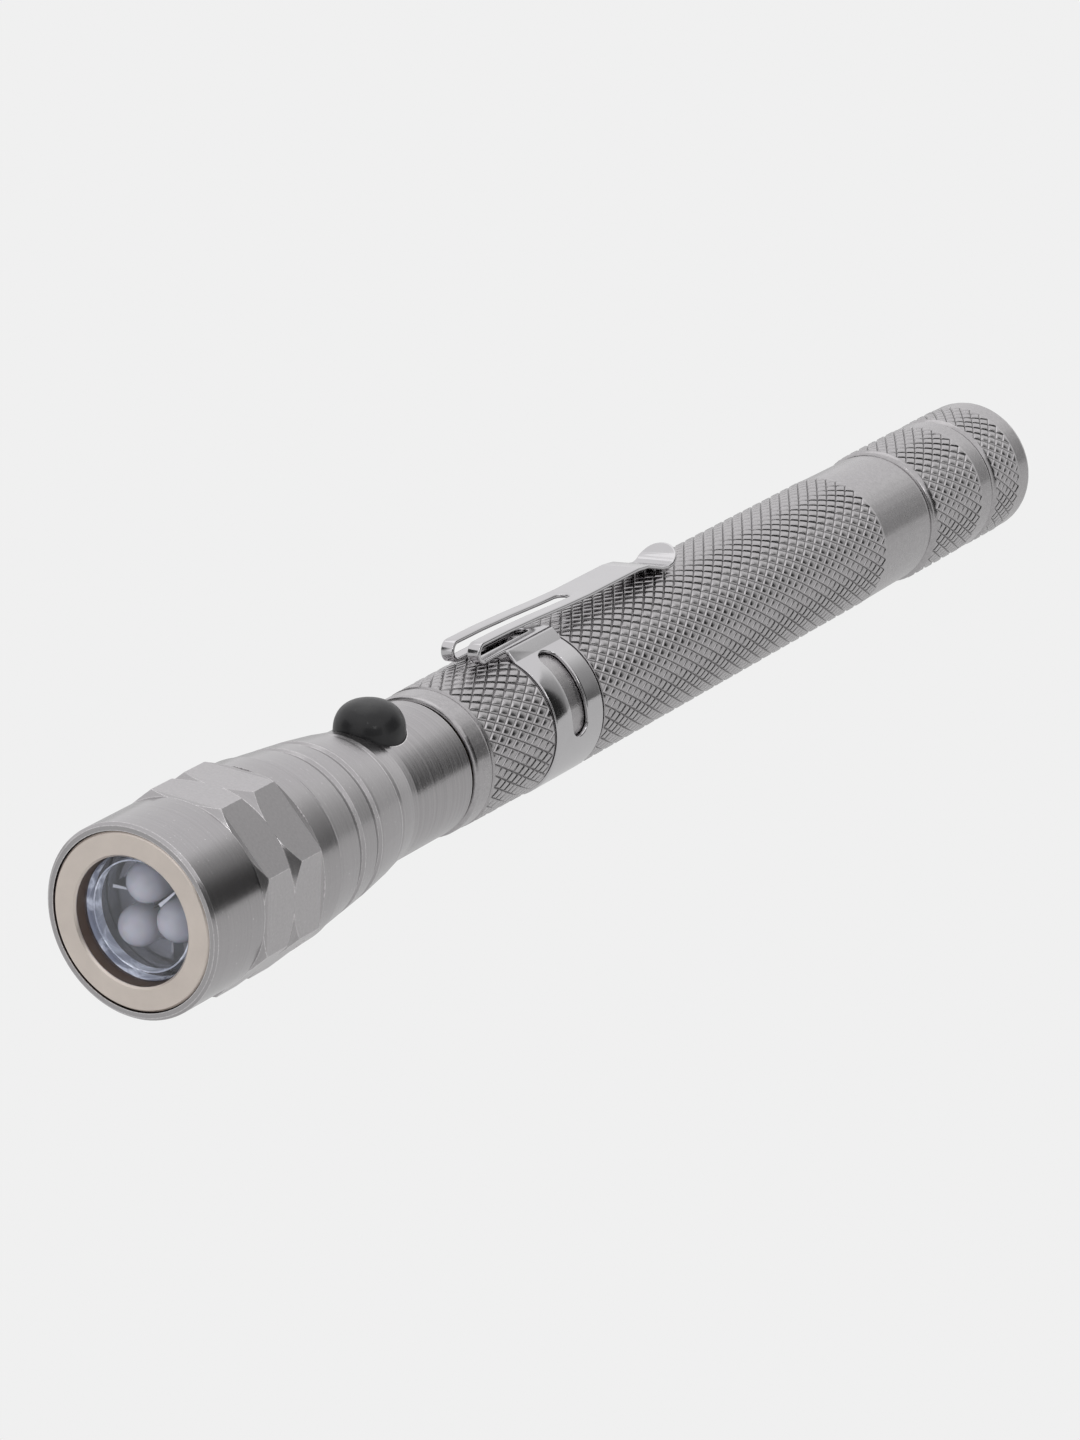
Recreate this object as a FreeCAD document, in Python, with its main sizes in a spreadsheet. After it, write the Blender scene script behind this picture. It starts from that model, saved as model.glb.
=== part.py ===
"""Telescopic magnetic pickup tool with a lit magnet head, a gooseneck and a pocket clip.

The tool lies along +Y. Its pickup magnet faces -Y with the centre of that face at the origin,
and +Z is up, where the push button is. A length along the tool is called a station.
"""
import FreeCAD, Part
import Sketcher
import math
import os
import re

DIMENSIONS = {
    # lamp head casing
    "tool_length": 170.0,
    "head_radius": 9.8,
    "rim_bevel": 0.3,
    "octagon_flat": 9.68,
    "octagon_corner": 10.48,
    "octagon_start": 7.9,
    "octagon_front": 8.6,
    "octagon_rear": 17.3,
    "notch_station": 12.95,
    "notch_half": 1.05,
    "notch_floor": 9.72,
    "shoulder_start": 18.0,
    "shoulder_end": 21.1,
    "shoulder_radius": 9.76,
    "shoulder_end_radius": 9.64,
    "cone_start": 21.4,
    "cone_start_radius": 9.5,
    "cone_middle": 30.2,
    "cone_middle_radius": 8.56,
    "cone_end": 34.3,
    "cone_end_radius": 7.95,
    "ring_groove_front": 25.0,
    "ring_groove_rear": 28.5,
    "ring_groove_width": 1.2,
    "ring_groove_depth": 0.25,
    "head_bore": 7.0,
    "head_thread": 7.1,
    "head_thread_start": 26.2,
    # pickup magnet and lens
    "magnet_seat": 9.0,
    "magnet_seat_depth": 4.25,
    "magnet_radius": 8.9,
    "magnet_bore": 6.45,
    "magnet_length": 3.2,
    "magnet_bevel": 0.2,
    "lens_inset": 1.4,
    "lens_radius": 6.35,
    "lens_window": 0.4,
    "lens_skirt": 0.75,
    "lens_flange": 0.9,
    "part_gap": 0.1,
    # lamps and circuit
    "led_radius": 2.1,
    "led_tip": 1.9,
    "led_rear": 10.4,
    "led_circle": 2.75,
    "led_turn": 100.0,
    "led_hole": 2.15,
    "holder_front": 5.8,
    "holder_rear": 10.2,
    "holder_radius": 6.9,
    "lead_radius": 0.25,
    "lead_reach": 1.27,
    "lead_hole": 0.32,
    "board_front": 10.6,
    "board_thickness": 0.8,
    "board_radius": 6.8,
    "resistor_width": 3.2,
    "resistor_height": 1.5,
    "resistor_depth": 0.6,
    "resistor_offset": 4.2,
    "spring_foot": 2.4,
    "spring_width": 2.5,
    "spring_strip": 0.2,
    "spring_play": 0.3,
    # button cells and their sleeve
    "cell_radius": 5.8,
    "cell_length": 5.4,
    "cell_cap_radius": 4.8,
    "cell_cap_height": 0.25,
    "cell_shoulder": 0.35,
    "cells_front": 13.2,
    "sleeve_bore": 5.9,
    "sleeve_radius": 6.45,
    "sleeve_rear": 35.4,
    "sleeve_floor": 0.6,
    "contact_radius": 1.15,
    "contact_head": 2.4,
    "contact_rear": 36.0,
    # neck casing
    "neck_radius": 7.25,
    "neck_bore": 6.55,
    "neck_spigot": 7.05,
    "neck_spigot_front": 27.0,
    "seal_bore": 6.6,
    "seal_thickness": 0.6,
    "neck_edge": 35.0,
    "neck_edge_radius": 7.8,
    "neck_waist": 37.5,
    "neck_waist_radius": 7.32,
    "neck_start": 38.4,
    "neck_bulkhead": 44.5,
    "neck_rear": 48.3,
    "neck_bevel": 0.25,
    # push button and switch
    "button_station": 40.0,
    "button_radius": 3.65,
    "button_hole": 3.72,
    "button_top": 10.1,
    "button_crown": 0.55,
    "button_round": 1.9,
    "button_inside": 3.25,
    "button_roof": 7.7,
    "button_flange": 4.1,
    "button_flange_top": 4.6,
    "button_flange_bottom": 3.9,
    "plunger_radius": 1.1,
    "plunger_bottom": 4.4,
    "switch_size": 4.0,
    "switch_bottom": 2.6,
    "switch_top": 5.6,
    "switch_hole": 1.2,
    "switch_hole_floor": 3.4,
    "switch_board_width": 7.4,
    "switch_board_length": 4.6,
    "switch_board_thickness": 1.0,
    # gooseneck
    "gooseneck_radius": 2.85,
    "gooseneck_bore": 1.6,
    "gooseneck_front": 45.2,
    "gooseneck_rear": 141.2,
    "ferrule_radius": 3.3,
    "ferrule_front": 44.8,
    "gooseneck_collar": 3.3,
    "gooseneck_collar_length": 0.9,
    "running_gap": 0.05,
    # telescopic tubes
    "tube_front": 49.4,
    "tube_rear": 142.0,
    "tube_radius": 5.95,
    "tube_step": 0.7,
    "tube_wall": 0.35,
    "tube_lip": 1.5,
    "bush_length": 8.0,
    "guide_radius": 6.9,
    "guide_front": 48.9,
    "guide_rear": 53.9,
    # barrel
    "barrel_front": 48.6,
    "barrel_bore": 6.3,
    "barrel_mouth": 6.95,
    "barrel_bevel": 0.25,
    "collar_radius": 7.52,
    "collar_rear": 51.6,
    "knurl_front_radius": 7.6,
    "knurl_middle_radius": 7.8,
    "knurl_rear": 134.4,
    "knurl_rear_radius": 7.72,
    "taper_front_radius": 7.62,
    "taper_rear_radius": 7.5,
    "barrel_shoulder": 145.8,
    "barrel_floor": 144.5,
    "barrel_floor_thickness": 2.5,
    "spigot_radius": 6.6,
    "spigot_bore": 5.5,
    "spigot_rear": 156.0,
    "bumper_radius": 6.2,
    "bumper_front": 142.6,
    # tail
    "tail_radius": 7.87,
    "tail_bore": 6.65,
    "tail_bevel": 0.5,
    "tail_front": 145.9,
    "tail_seam": 160.6,
    "cap_front": 160.75,
    "cap_spigot_front": 156.6,
    "cap_bevel": 0.35,
    "tail_magnet_radius": 6.0,
    "tail_magnet_front": 167.0,
    "tail_magnet_inset": 0.1,
    # pocket clip
    "clip_turn": -8.5,
    "strip_thickness": 0.45,
    "strip_half_width": 2.35,
    "strip_slot_half": 0.85,
    "band_front": 63.5,
    "band_rear": 72.5,
    "band_seat_front": 63.2,
    "band_seat_rear": 72.8,
    "band_seat_radius": 7.3,
    "band_bore": 7.38,
    "band_opening_half": 3.3,
    "band_gap_half": 2.7,
    "band_slot_front": 66.6,
    "band_slot_rear": 69.5,
    "band_slot_start": 27.5,
    "band_slot_end": 103.5,
    "strip_slot_rear": 70.8,
    "strip_top": 8.32,
    "fold_station": 59.7,
    "fold_height": 9.05,
    "fold_gap": 0.15,
    "arm_slot_rear": 79.2,
    "arm_bend": 90.5,
    "arm_bend_height": 9.6,
    "arm_dip_front": 95.7,
    "arm_dip_rear": 96.8,
    "arm_dip_height": 8.33,
    "arm_end": 99.3,
    "arm_end_height": 9.95,
}

NUMBER_OF_LEDS = 3
NUMBER_OF_CELLS = 4
NUMBER_OF_TUBES = 4
OCTAGON_SIDES = 8

doc = FreeCAD.newDocument("pickup_tool")
sheet = doc.addObject("Spreadsheet::Sheet", "Dims")
parts = []


def fill_sheet():
    """Write every driving dimension into the sheet, with its name beside it."""
    for row, (alias, value) in enumerate(DIMENSIONS.items(), start=1):
        sheet.set("A%d" % row, alias)
        sheet.set("B%d" % row, "%g" % value)
        sheet.setAlias("B%d" % row, alias)
    doc.recompute()


def bound(formula):
    """Put the sheet's name before every alias in a formula."""
    return re.sub(r"\b([a-z]\w*)\b(?!\()", r"Dims.\1", formula)


def number(formula):
    """Work out a formula of sheet aliases."""
    return float(sheet.evalExpression(formula))


def keep(item, label):
    """Give a finished sub-part its label and put it on the list of parts."""
    item.Label = label
    parts.append(item)
    return item


def origin_item(body, role):
    """Find one of a body's own origin planes or axes."""
    return next(item for item in body.Origin.OriginFeatures if item.Role == role)


def new_sketch(body, name, plane, lift="0"):
    """Attach an empty sketch to an origin plane of a body, lifted along the plane's normal."""
    sketch = body.newObject("Sketcher::SketchObject", name)
    sketch.AttachmentSupport = [(origin_item(body, plane), "")]
    sketch.MapMode = "FlatFace"
    sketch.setExpression("AttachmentOffset.Base.z", bound(lift))
    return sketch


def pin(sketch, geometry, point, across, along):
    """Hold one point of a sketch at a place given by two formulas."""
    for kind, axis, formula in (("DistanceX", -2, across), ("DistanceY", -1, along)):
        if abs(number(formula)) < 1e-9:
            sketch.addConstraint(Sketcher.Constraint("PointOnObject", geometry, point, axis))
            continue
        index = sketch.addConstraint(Sketcher.Constraint(kind, geometry, point, number(formula)))
        sketch.setExpression("Constraints[%d]" % index, bound(formula))


def arc_between(start, end, radius, turn):
    """Make the minor arc from start to end, anticlockwise for turn 1 and clockwise for -1."""
    chord = end - start
    rise = math.sqrt(max(radius ** 2 - chord.Length ** 2 / 4, 0.0))
    side = FreeCAD.Vector(-chord.y, chord.x, 0).normalize() * rise * turn
    centre = (start + end) / 2 + side
    circle = Part.Circle(centre, FreeCAD.Vector(0, 0, 1), radius)
    angles = [math.atan2(p.y - centre.y, p.x - centre.x) for p in (start, end)]
    first, last = angles if turn > 0 else reversed(angles)
    return Part.ArcOfCircle(circle, first, last + (2 * math.pi if last < first else 0))


def draw_outline(sketch, corners):
    """Close an outline through its corners.

    A corner is (across, along) for a straight edge to the next one, or
    (across, along, radius, turn) for an arc to it.
    """
    places = [FreeCAD.Vector(number(c[0]), number(c[1]), 0) for c in corners]
    ends = []
    for index, corner in enumerate(corners):
        start, end = places[index], places[(index + 1) % len(places)]
        if len(corner) == 2:
            geometry = sketch.addGeometry(Part.LineSegment(start, end))
            ends.append((geometry, 1, 2))
            continue
        radius, turn = corner[2], corner[3]
        geometry = sketch.addGeometry(arc_between(start, end, number(radius), turn))
        ends.append((geometry, 1, 2) if turn > 0 else (geometry, 2, 1))
        limit = sketch.addConstraint(Sketcher.Constraint("Radius", geometry, number(radius)))
        sketch.setExpression("Constraints[%d]" % limit, bound(radius))
    for index, (geometry, first, last) in enumerate(ends):
        following = ends[(index + 1) % len(ends)]
        sketch.addConstraint(Sketcher.Constraint("Coincident", geometry, last, following[0], following[1]))
    for (geometry, first, last), corner in zip(ends, corners):
        pin(sketch, geometry, first, corner[0], corner[1])
    return sketch


def draw_circle(sketch, across, along, radius):
    """Add a circle whose centre and radius follow formulas."""
    centre = FreeCAD.Vector(number(across), number(along), 0)
    geometry = sketch.addGeometry(Part.Circle(centre, FreeCAD.Vector(0, 0, 1), number(radius)))
    pin(sketch, geometry, 3, across, along)
    limit = sketch.addConstraint(Sketcher.Constraint("Radius", geometry, number(radius)))
    sketch.setExpression("Constraints[%d]" % limit, bound(radius))
    return sketch


def rectangle(left, bottom, right, top):
    """Give the four corners of an upright rectangle."""
    return [(left, bottom), (right, bottom), (right, top), (left, top)]


def turn_outline(body, name, corners, kind="PartDesign::Revolution"):
    """Turn an outline of (radius, station) corners about the tool's axis."""
    sketch = draw_outline(new_sketch(body, name + "_outline", "XY_Plane"), corners)
    feature = body.newObject(kind, name + "_turning")
    feature.Profile = sketch
    feature.ReferenceAxis = (sketch, ["V_Axis"])
    feature.Angle = 360
    return feature


def turned(name, corners):
    """Make a whole sub-part on the lathe from one outline."""
    body = doc.addObject("PartDesign::Body", name)
    turn_outline(body, name, corners)
    return keep(body, name)


def ring(name, bore, radius, front, rear):
    """Make a plain ring or tube."""
    return turned(name, rectangle(bore, front, radius, rear))


def push(body, name, kind, sketch, length, reverse=False, symmetric=False):
    """Pad or pocket a sketch by a length that follows a formula."""
    feature = body.newObject("PartDesign::" + kind, name)
    feature.Profile = sketch
    feature.SideType = "Symmetric" if symmetric else "One side"
    feature.Reversed = reverse
    feature.setExpression("Length", bound(length))
    return feature


def side_cut(body, name, corners, width):
    """Cut a side-view outline through the body, as wide as given, centred on the tool."""
    sketch = draw_outline(new_sketch(body, name + "_outline", "YZ_Plane"), corners)
    return push(body, name, "Pocket", sketch, width, symmetric=True)


def side_pad(body, name, corners, width):
    """Add a side-view outline to the body, as wide as given, centred on the tool."""
    sketch = draw_outline(new_sketch(body, name + "_outline", "YZ_Plane"), corners)
    return push(body, name, "Pad", sketch, width, symmetric=True)


def repeat_around(body, name, feature, count):
    """Repeat a feature at even steps around the tool's axis."""
    pattern = body.newObject("PartDesign::PolarPattern", name)
    pattern.Originals = [feature]
    pattern.Axis = (origin_item(body, "Y_Axis"), [""])
    pattern.Angle = 360
    pattern.Occurrences = count
    body.Tip = pattern
    return pattern


def mirror_across(body, name, features):
    """Repeat features on the other side of the tool's middle plane."""
    mirrored = body.newObject("PartDesign::Mirrored", name)
    mirrored.Originals = features
    mirrored.MirrorPlane = (origin_item(body, "YZ_Plane"), [""])
    body.Tip = mirrored
    return mirrored


def stand_up(body, station):
    """Turn a lathe part upright, so that its stations become heights above the tool's axis."""
    body.Placement.Rotation = FreeCAD.Rotation(FreeCAD.Vector(1, 0, 0), 90)
    body.setExpression("Placement.Base.y", bound(station))
    return body


def turn_clip(body):
    """Turn a clip piece round the barrel to where the clip sits."""
    body.Placement.Rotation = FreeCAD.Rotation(FreeCAD.Vector(0, 1, 0), 1)
    body.setExpression("Placement.Rotation.Angle", bound("clip_turn"))
    return body


# ---- lamp head ----

def ring_groove(start):
    """Give the corners of a shallow groove with sloping sides in the head's cone."""
    def cone_radius(station):
        slope = "(cone_start_radius - cone_middle_radius) / (cone_middle - cone_start)"
        return "cone_start_radius - (%s - cone_start) * %s" % (station, slope)

    stations = [start + " + ring_groove_width * %g" % share for share in (0, 0.3, 0.7, 1)]
    depths = ("", " - ring_groove_depth", " - ring_groove_depth", "")
    return [(cone_radius("(" + station + ")") + depth, station) for station, depth in zip(stations, depths)]


def head_outline():
    """List the corners of the lamp head's casing before its flats are milled."""
    outside = [
        ("magnet_seat", "0"),
        ("head_radius - rim_bevel", "0"),
        ("head_radius", "rim_bevel"),
        ("head_radius", "octagon_start"),
        ("octagon_corner", "octagon_front"),
        ("octagon_corner", "notch_station - notch_half"),
        ("notch_floor", "notch_station"),
        ("octagon_corner", "notch_station + notch_half"),
        ("octagon_corner", "octagon_rear"),
        ("shoulder_radius", "shoulder_start"),
        ("shoulder_end_radius", "shoulder_end"),
        ("cone_start_radius", "cone_start"),
    ]
    outside += ring_groove("ring_groove_front") + ring_groove("ring_groove_rear")
    outside += [("cone_middle_radius", "cone_middle"), ("cone_end_radius", "cone_end")]
    inside = [
        ("head_thread", "cone_end"),
        ("head_thread", "head_thread_start"),
        ("head_bore", "head_thread_start"),
        ("head_bore", "magnet_seat_depth"),
        ("magnet_seat", "magnet_seat_depth"),
    ]
    return outside + inside


def make_head_shell():
    """Turn the casing, then mill its eight flats."""
    body = turned("head_shell", head_outline())
    flat = rectangle("octagon_start", "octagon_flat", "shoulder_start", "octagon_corner + 1")
    cut = side_cut(body, "flat", flat, "octagon_flat")
    repeat_around(body, "eight_flats", cut, OCTAGON_SIDES)


def make_ring_magnet():
    """Turn the ring magnet with its broken edges."""
    turned("ring_magnet", [
        ("magnet_bore + magnet_bevel", "0"),
        ("magnet_radius - magnet_bevel", "0"),
        ("magnet_radius", "magnet_bevel"),
        ("magnet_radius", "magnet_length"),
        ("magnet_bore", "magnet_length"),
        ("magnet_bore", "magnet_bevel"),
    ])


def make_lens():
    """Turn the clear lens: a window on a skirt, with a flange that the magnet holds down."""
    flange_front = "magnet_length + part_gap / 2"
    turned("lens", [
        ("0", "lens_inset"),
        ("lens_radius", "lens_inset"),
        ("lens_radius", flange_front),
        ("magnet_radius", flange_front),
        ("magnet_radius", flange_front + " + lens_flange"),
        ("lens_radius - lens_skirt", flange_front + " + lens_flange"),
        ("lens_radius - lens_skirt", "lens_inset + lens_window"),
        ("0", "lens_inset + lens_window"),
    ])


def led_angle(index):
    """Give the place of a lamp around the axis, from +Z towards +X."""
    return "(led_turn + %g)" % (360 * index / NUMBER_OF_LEDS)


def led_hole(body, name, radius, front, length, across="0", up="led_circle"):
    """Cut a round hole along the tool for the lamp at the top of the circle."""
    sketch = draw_circle(new_sketch(body, name + "_circle", "XZ_Plane", "-" + front), across, up, radius)
    return push(body, name, "Pocket", sketch, length)


def turn_to_leds(body):
    """Turn a body from its first lamp at the top to where the lamps really are."""
    body.Placement.Rotation = FreeCAD.Rotation(FreeCAD.Vector(0, 1, 0), 1)
    body.setExpression("Placement.Rotation.Angle", bound("led_turn"))


def make_led_holder():
    """Turn the reflector that holds the lamps, with a dished front, and bore its three holes."""
    body = turned("led_holder", [
        ("0", "holder_front + led_radius / 2"),
        ("lens_radius - lens_skirt", "holder_front"),
        ("holder_radius", "holder_front"),
        ("holder_radius", "holder_rear"),
        ("0", "holder_rear"),
    ])
    hole = led_hole(body, "lamp_hole", "led_hole", "holder_front", "holder_rear - holder_front + 1")
    repeat_around(body, "three_lamp_holes", hole, NUMBER_OF_LEDS)
    turn_to_leds(body)


def make_leds():
    """Make each lamp: a domed body with its two leads."""
    for index in range(NUMBER_OF_LEDS):
        name = "led_%d" % (index + 1)
        body = turned(name, [
            ("led_radius", "led_tip + led_radius"),
            ("led_radius", "led_rear"),
            ("0", "led_rear"),
            ("0", "led_tip", "led_radius", 1),
        ])
        leads = new_sketch(body, name + "_leads", "XZ_Plane", "-led_rear")
        draw_circle(leads, "lead_reach", "0", "lead_radius")
        draw_circle(leads, "-lead_reach", "0", "lead_radius")
        push(body, name + "_lead_pair", "Pad", leads, "board_front + board_thickness - led_rear", reverse=True)
        angle = led_angle(index)
        body.Placement.Rotation = FreeCAD.Rotation(FreeCAD.Vector(0, 1, 0), 1)
        body.setExpression("Placement.Rotation.Angle", bound(angle))
        body.setExpression("Placement.Base.x", bound("led_circle * sin(%s)" % angle))
        body.setExpression("Placement.Base.z", bound("led_circle * cos(%s)" % angle))


def make_circuit_board():
    """Make the round board and drill the holes for the leads."""
    body = turned("circuit_board", rectangle("0", "board_front", "board_radius", "board_front + board_thickness"))
    sketch = new_sketch(body, "lead_circles", "XZ_Plane", "-board_front")
    draw_circle(sketch, "lead_reach", "led_circle", "lead_hole")
    draw_circle(sketch, "-lead_reach", "led_circle", "lead_hole")
    holes = push(body, "lead_holes", "Pocket", sketch, "board_thickness + 1")
    repeat_around(body, "all_lead_holes", holes, NUMBER_OF_LEDS)
    turn_to_leds(body)


def make_resistor():
    """Make the chip resistor on the back of the board."""
    chip = doc.addObject("Part::Box", "resistor")
    chip.setExpression("Length", bound("resistor_width"))
    chip.setExpression("Width", bound("resistor_depth"))
    chip.setExpression("Height", bound("resistor_height"))
    chip.setExpression("Placement.Base.x", bound("-resistor_width / 2"))
    chip.setExpression("Placement.Base.y", bound("board_front + board_thickness"))
    chip.setExpression("Placement.Base.z", bound("resistor_offset"))
    keep(chip, "resistor")


def make_contact_spring():
    """Bend the contact spring from one strip: a foot on the board and an arm that reaches for the cell."""
    foot = "board_front + board_thickness"
    tip = "cells_front - spring_play"
    body = doc.addObject("PartDesign::Body", "contact_spring")
    side_pad(body, "spring_strip", [
        (foot, "-spring_foot"),
        (foot, "spring_foot"),
        (foot + " + spring_strip", "spring_foot + spring_strip"),
        (tip, "-spring_foot / 4"),
        (tip, "-spring_foot / 2"),
        (tip + " - spring_strip", "-spring_foot / 2"),
        (tip + " - spring_strip", "-spring_foot / 4"),
        (foot + " + spring_strip", "spring_foot - 2 * spring_strip"),
        (foot + " + spring_strip", "-spring_foot"),
    ], "spring_width")
    keep(body, "contact_spring")


# ---- neck: cells, switch and button ----

def make_cells():
    """Turn the button cells, each with its raised cap towards the front."""
    for index in range(NUMBER_OF_CELLS):
        front = "cells_front + %d * cell_length" % index
        turned("cell_%d" % (index + 1), [
            ("0", front),
            ("cell_cap_radius", front),
            ("cell_cap_radius", front + " + cell_cap_height"),
            ("cell_radius", front + " + cell_cap_height + cell_shoulder"),
            ("cell_radius", front + " + cell_length"),
            ("0", front + " + cell_length"),
        ])


def make_cell_sleeve():
    """Turn the insulating sleeve that holds the cells, and the rivet in its floor."""
    floor_front = "sleeve_rear - sleeve_floor"
    turned("cell_sleeve", [
        ("sleeve_bore", "cells_front"),
        ("sleeve_radius", "cells_front"),
        ("sleeve_radius", "sleeve_rear"),
        ("contact_radius", "sleeve_rear"),
        ("contact_radius", floor_front),
        ("sleeve_bore", floor_front),
    ])
    turned("rear_contact", [
        ("0", "cells_front + %d * cell_length" % NUMBER_OF_CELLS),
        ("contact_radius", "cells_front + %d * cell_length" % NUMBER_OF_CELLS),
        ("contact_radius", "sleeve_rear"),
        ("contact_head", "sleeve_rear"),
        ("contact_head", "contact_rear"),
        ("0", "contact_rear"),
    ])


def make_seal_ring():
    """Turn the flat ring between the head's shoulder and the front of the neck."""
    ring("seal_ring", "seal_bore", "head_bore", "head_thread_start + part_gap",
         "head_thread_start + part_gap + seal_thickness")


def make_neck_housing():
    """Turn the neck's casing and bore the hole for the button."""
    body = turned("neck_housing", [
        ("neck_bore", "neck_spigot_front"),
        ("neck_spigot", "neck_spigot_front"),
        ("neck_spigot", "cone_end + part_gap"),
        ("cone_end_radius - part_gap", "cone_end + part_gap"),
        ("neck_edge_radius", "neck_edge"),
        ("neck_waist_radius", "neck_waist"),
        ("neck_radius", "neck_start"),
        ("neck_radius", "neck_rear - neck_bevel"),
        ("neck_radius - neck_bevel", "neck_rear"),
        ("ferrule_radius", "neck_rear"),
        ("ferrule_radius", "neck_bulkhead"),
        ("neck_bore", "neck_bulkhead"),
    ])
    sketch = draw_circle(new_sketch(body, "button_circle", "XY_Plane"), "0", "button_station", "button_hole")
    push(body, "button_opening", "Pocket", sketch, "head_radius", reverse=True)


def make_rubber_button():
    """Turn the hollow rubber button with its domed top and retaining flange."""
    crown = "((button_radius - button_round) ^ 2 + button_crown ^ 2) / (2 * button_crown)"
    body = turned("rubber_button", [
        ("0", "button_roof"),
        ("button_inside", "button_roof"),
        ("button_inside", "button_flange_bottom"),
        ("button_flange", "button_flange_bottom"),
        ("button_flange", "button_flange_top"),
        ("button_radius", "button_flange_top"),
        ("button_radius", "button_top - button_crown - button_round", "button_round", 1),
        ("button_radius - button_round", "button_top - button_crown", crown, 1),
        ("0", "button_top"),
    ])
    stand_up(body, "button_station")


def make_switch():
    """Make the switch body with its well, the plunger in it and the board below."""
    plunger = turned("switch_plunger", rectangle("0", "plunger_bottom", "plunger_radius", "button_roof"))
    stand_up(plunger, "button_station")
    body = doc.addObject("PartDesign::Body", "switch_body")
    case = rectangle("button_station - switch_size / 2", "switch_bottom",
                     "button_station + switch_size / 2", "switch_top")
    side_pad(body, "switch_case", case, "switch_size")
    well = new_sketch(body, "switch_well", "XY_Plane", "switch_hole_floor")
    draw_circle(well, "0", "button_station", "switch_hole")
    push(body, "plunger_well", "Pocket", well, "switch_top", reverse=True)
    keep(body, "switch_body")
    board = doc.addObject("PartDesign::Body", "switch_board")
    slab = rectangle("button_station - switch_board_length / 2", "switch_bottom - switch_board_thickness",
                     "button_station + switch_board_length / 2", "switch_bottom")
    side_pad(board, "switch_slab", slab, "switch_board_width")
    keep(board, "switch_board")


# ---- gooseneck and telescopic tubes ----

def make_gooseneck():
    """Make the flexible rod, the ferrule in the neck, its two collars and the slider between them."""
    ring("gooseneck", "gooseneck_bore", "gooseneck_radius", "gooseneck_front", "gooseneck_rear")
    ring("gooseneck_ferrule", "gooseneck_radius", "ferrule_radius", "ferrule_front", "neck_rear")
    slider_rear = "(gooseneck_rear - gooseneck_collar_length - part_gap)"
    slider_front = "(" + slider_rear + " - bush_length)"
    bore = "tube_radius - %d * tube_step - tube_wall" % (NUMBER_OF_TUBES - 1)
    ring("gooseneck_slider", "gooseneck_radius + running_gap", bore + " - running_gap",
         slider_front, slider_rear)
    ring("gooseneck_rear_collar", "gooseneck_radius", "gooseneck_collar",
         "gooseneck_rear - gooseneck_collar_length", "gooseneck_rear")
    ring("gooseneck_front_collar", "gooseneck_radius", "gooseneck_collar",
         slider_front + " - gooseneck_collar_length - part_gap", slider_front + " - part_gap")


def make_tubes():
    """Make the nested tubes from the widest in, each with a lip in front and a bush behind."""
    for index in range(NUMBER_OF_TUBES):
        name = "tube_%d" % (index + 1)
        radius = "(tube_radius - %d * tube_step)" % index
        last = index == NUMBER_OF_TUBES - 1
        inner = "gooseneck_radius" if last else "(tube_radius - %d * tube_step)" % (index + 1)
        turned(name, [
            (inner + " + running_gap", "tube_front"),
            (radius, "tube_front"),
            (radius, "tube_rear"),
            (radius + " - tube_wall", "tube_rear"),
            (radius + " - tube_wall", "tube_front + tube_lip"),
            (inner + " + running_gap", "tube_front + tube_lip"),
        ])
        bore = "barrel_bore" if index == 0 else "(tube_radius - %d * tube_step - tube_wall)" % (index - 1)
        ring(name + "_bush", radius, bore + " - running_gap", "tube_rear - bush_length", "tube_rear")


# ---- barrel and tail ----

def make_barrel():
    """Turn the barrel, its front guide bush and the bumper at its floor."""
    turned("barrel_tube", [
        ("barrel_mouth", "barrel_front"),
        ("collar_radius - barrel_bevel", "barrel_front"),
        ("collar_radius", "barrel_front + barrel_bevel"),
        ("collar_radius", "collar_rear"),
        ("knurl_front_radius", "collar_rear + barrel_bevel"),
        ("knurl_middle_radius - part_gap", "band_seat_front"),
        ("band_seat_radius", "band_seat_front"),
        ("band_seat_radius", "band_seat_rear"),
        ("knurl_middle_radius", "band_seat_rear"),
        ("knurl_rear_radius", "knurl_rear"),
        ("taper_front_radius", "knurl_rear + barrel_bevel"),
        ("taper_rear_radius", "barrel_shoulder - barrel_bevel"),
        ("taper_rear_radius - barrel_bevel", "barrel_shoulder"),
        ("spigot_radius", "barrel_shoulder"),
        ("spigot_radius", "spigot_rear"),
        ("spigot_bore", "spigot_rear"),
        ("spigot_bore", "barrel_floor + barrel_floor_thickness"),
        ("0", "barrel_floor + barrel_floor_thickness"),
        ("0", "barrel_floor"),
        ("barrel_bore", "barrel_floor"),
        ("barrel_bore", "guide_rear + part_gap"),
        ("barrel_mouth", "guide_rear + part_gap"),
    ])
    ring("front_guide", "tube_radius + running_gap", "guide_radius", "guide_front", "guide_rear")
    turned("rear_bumper", rectangle("0", "bumper_front", "bumper_radius", "barrel_floor"))


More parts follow.
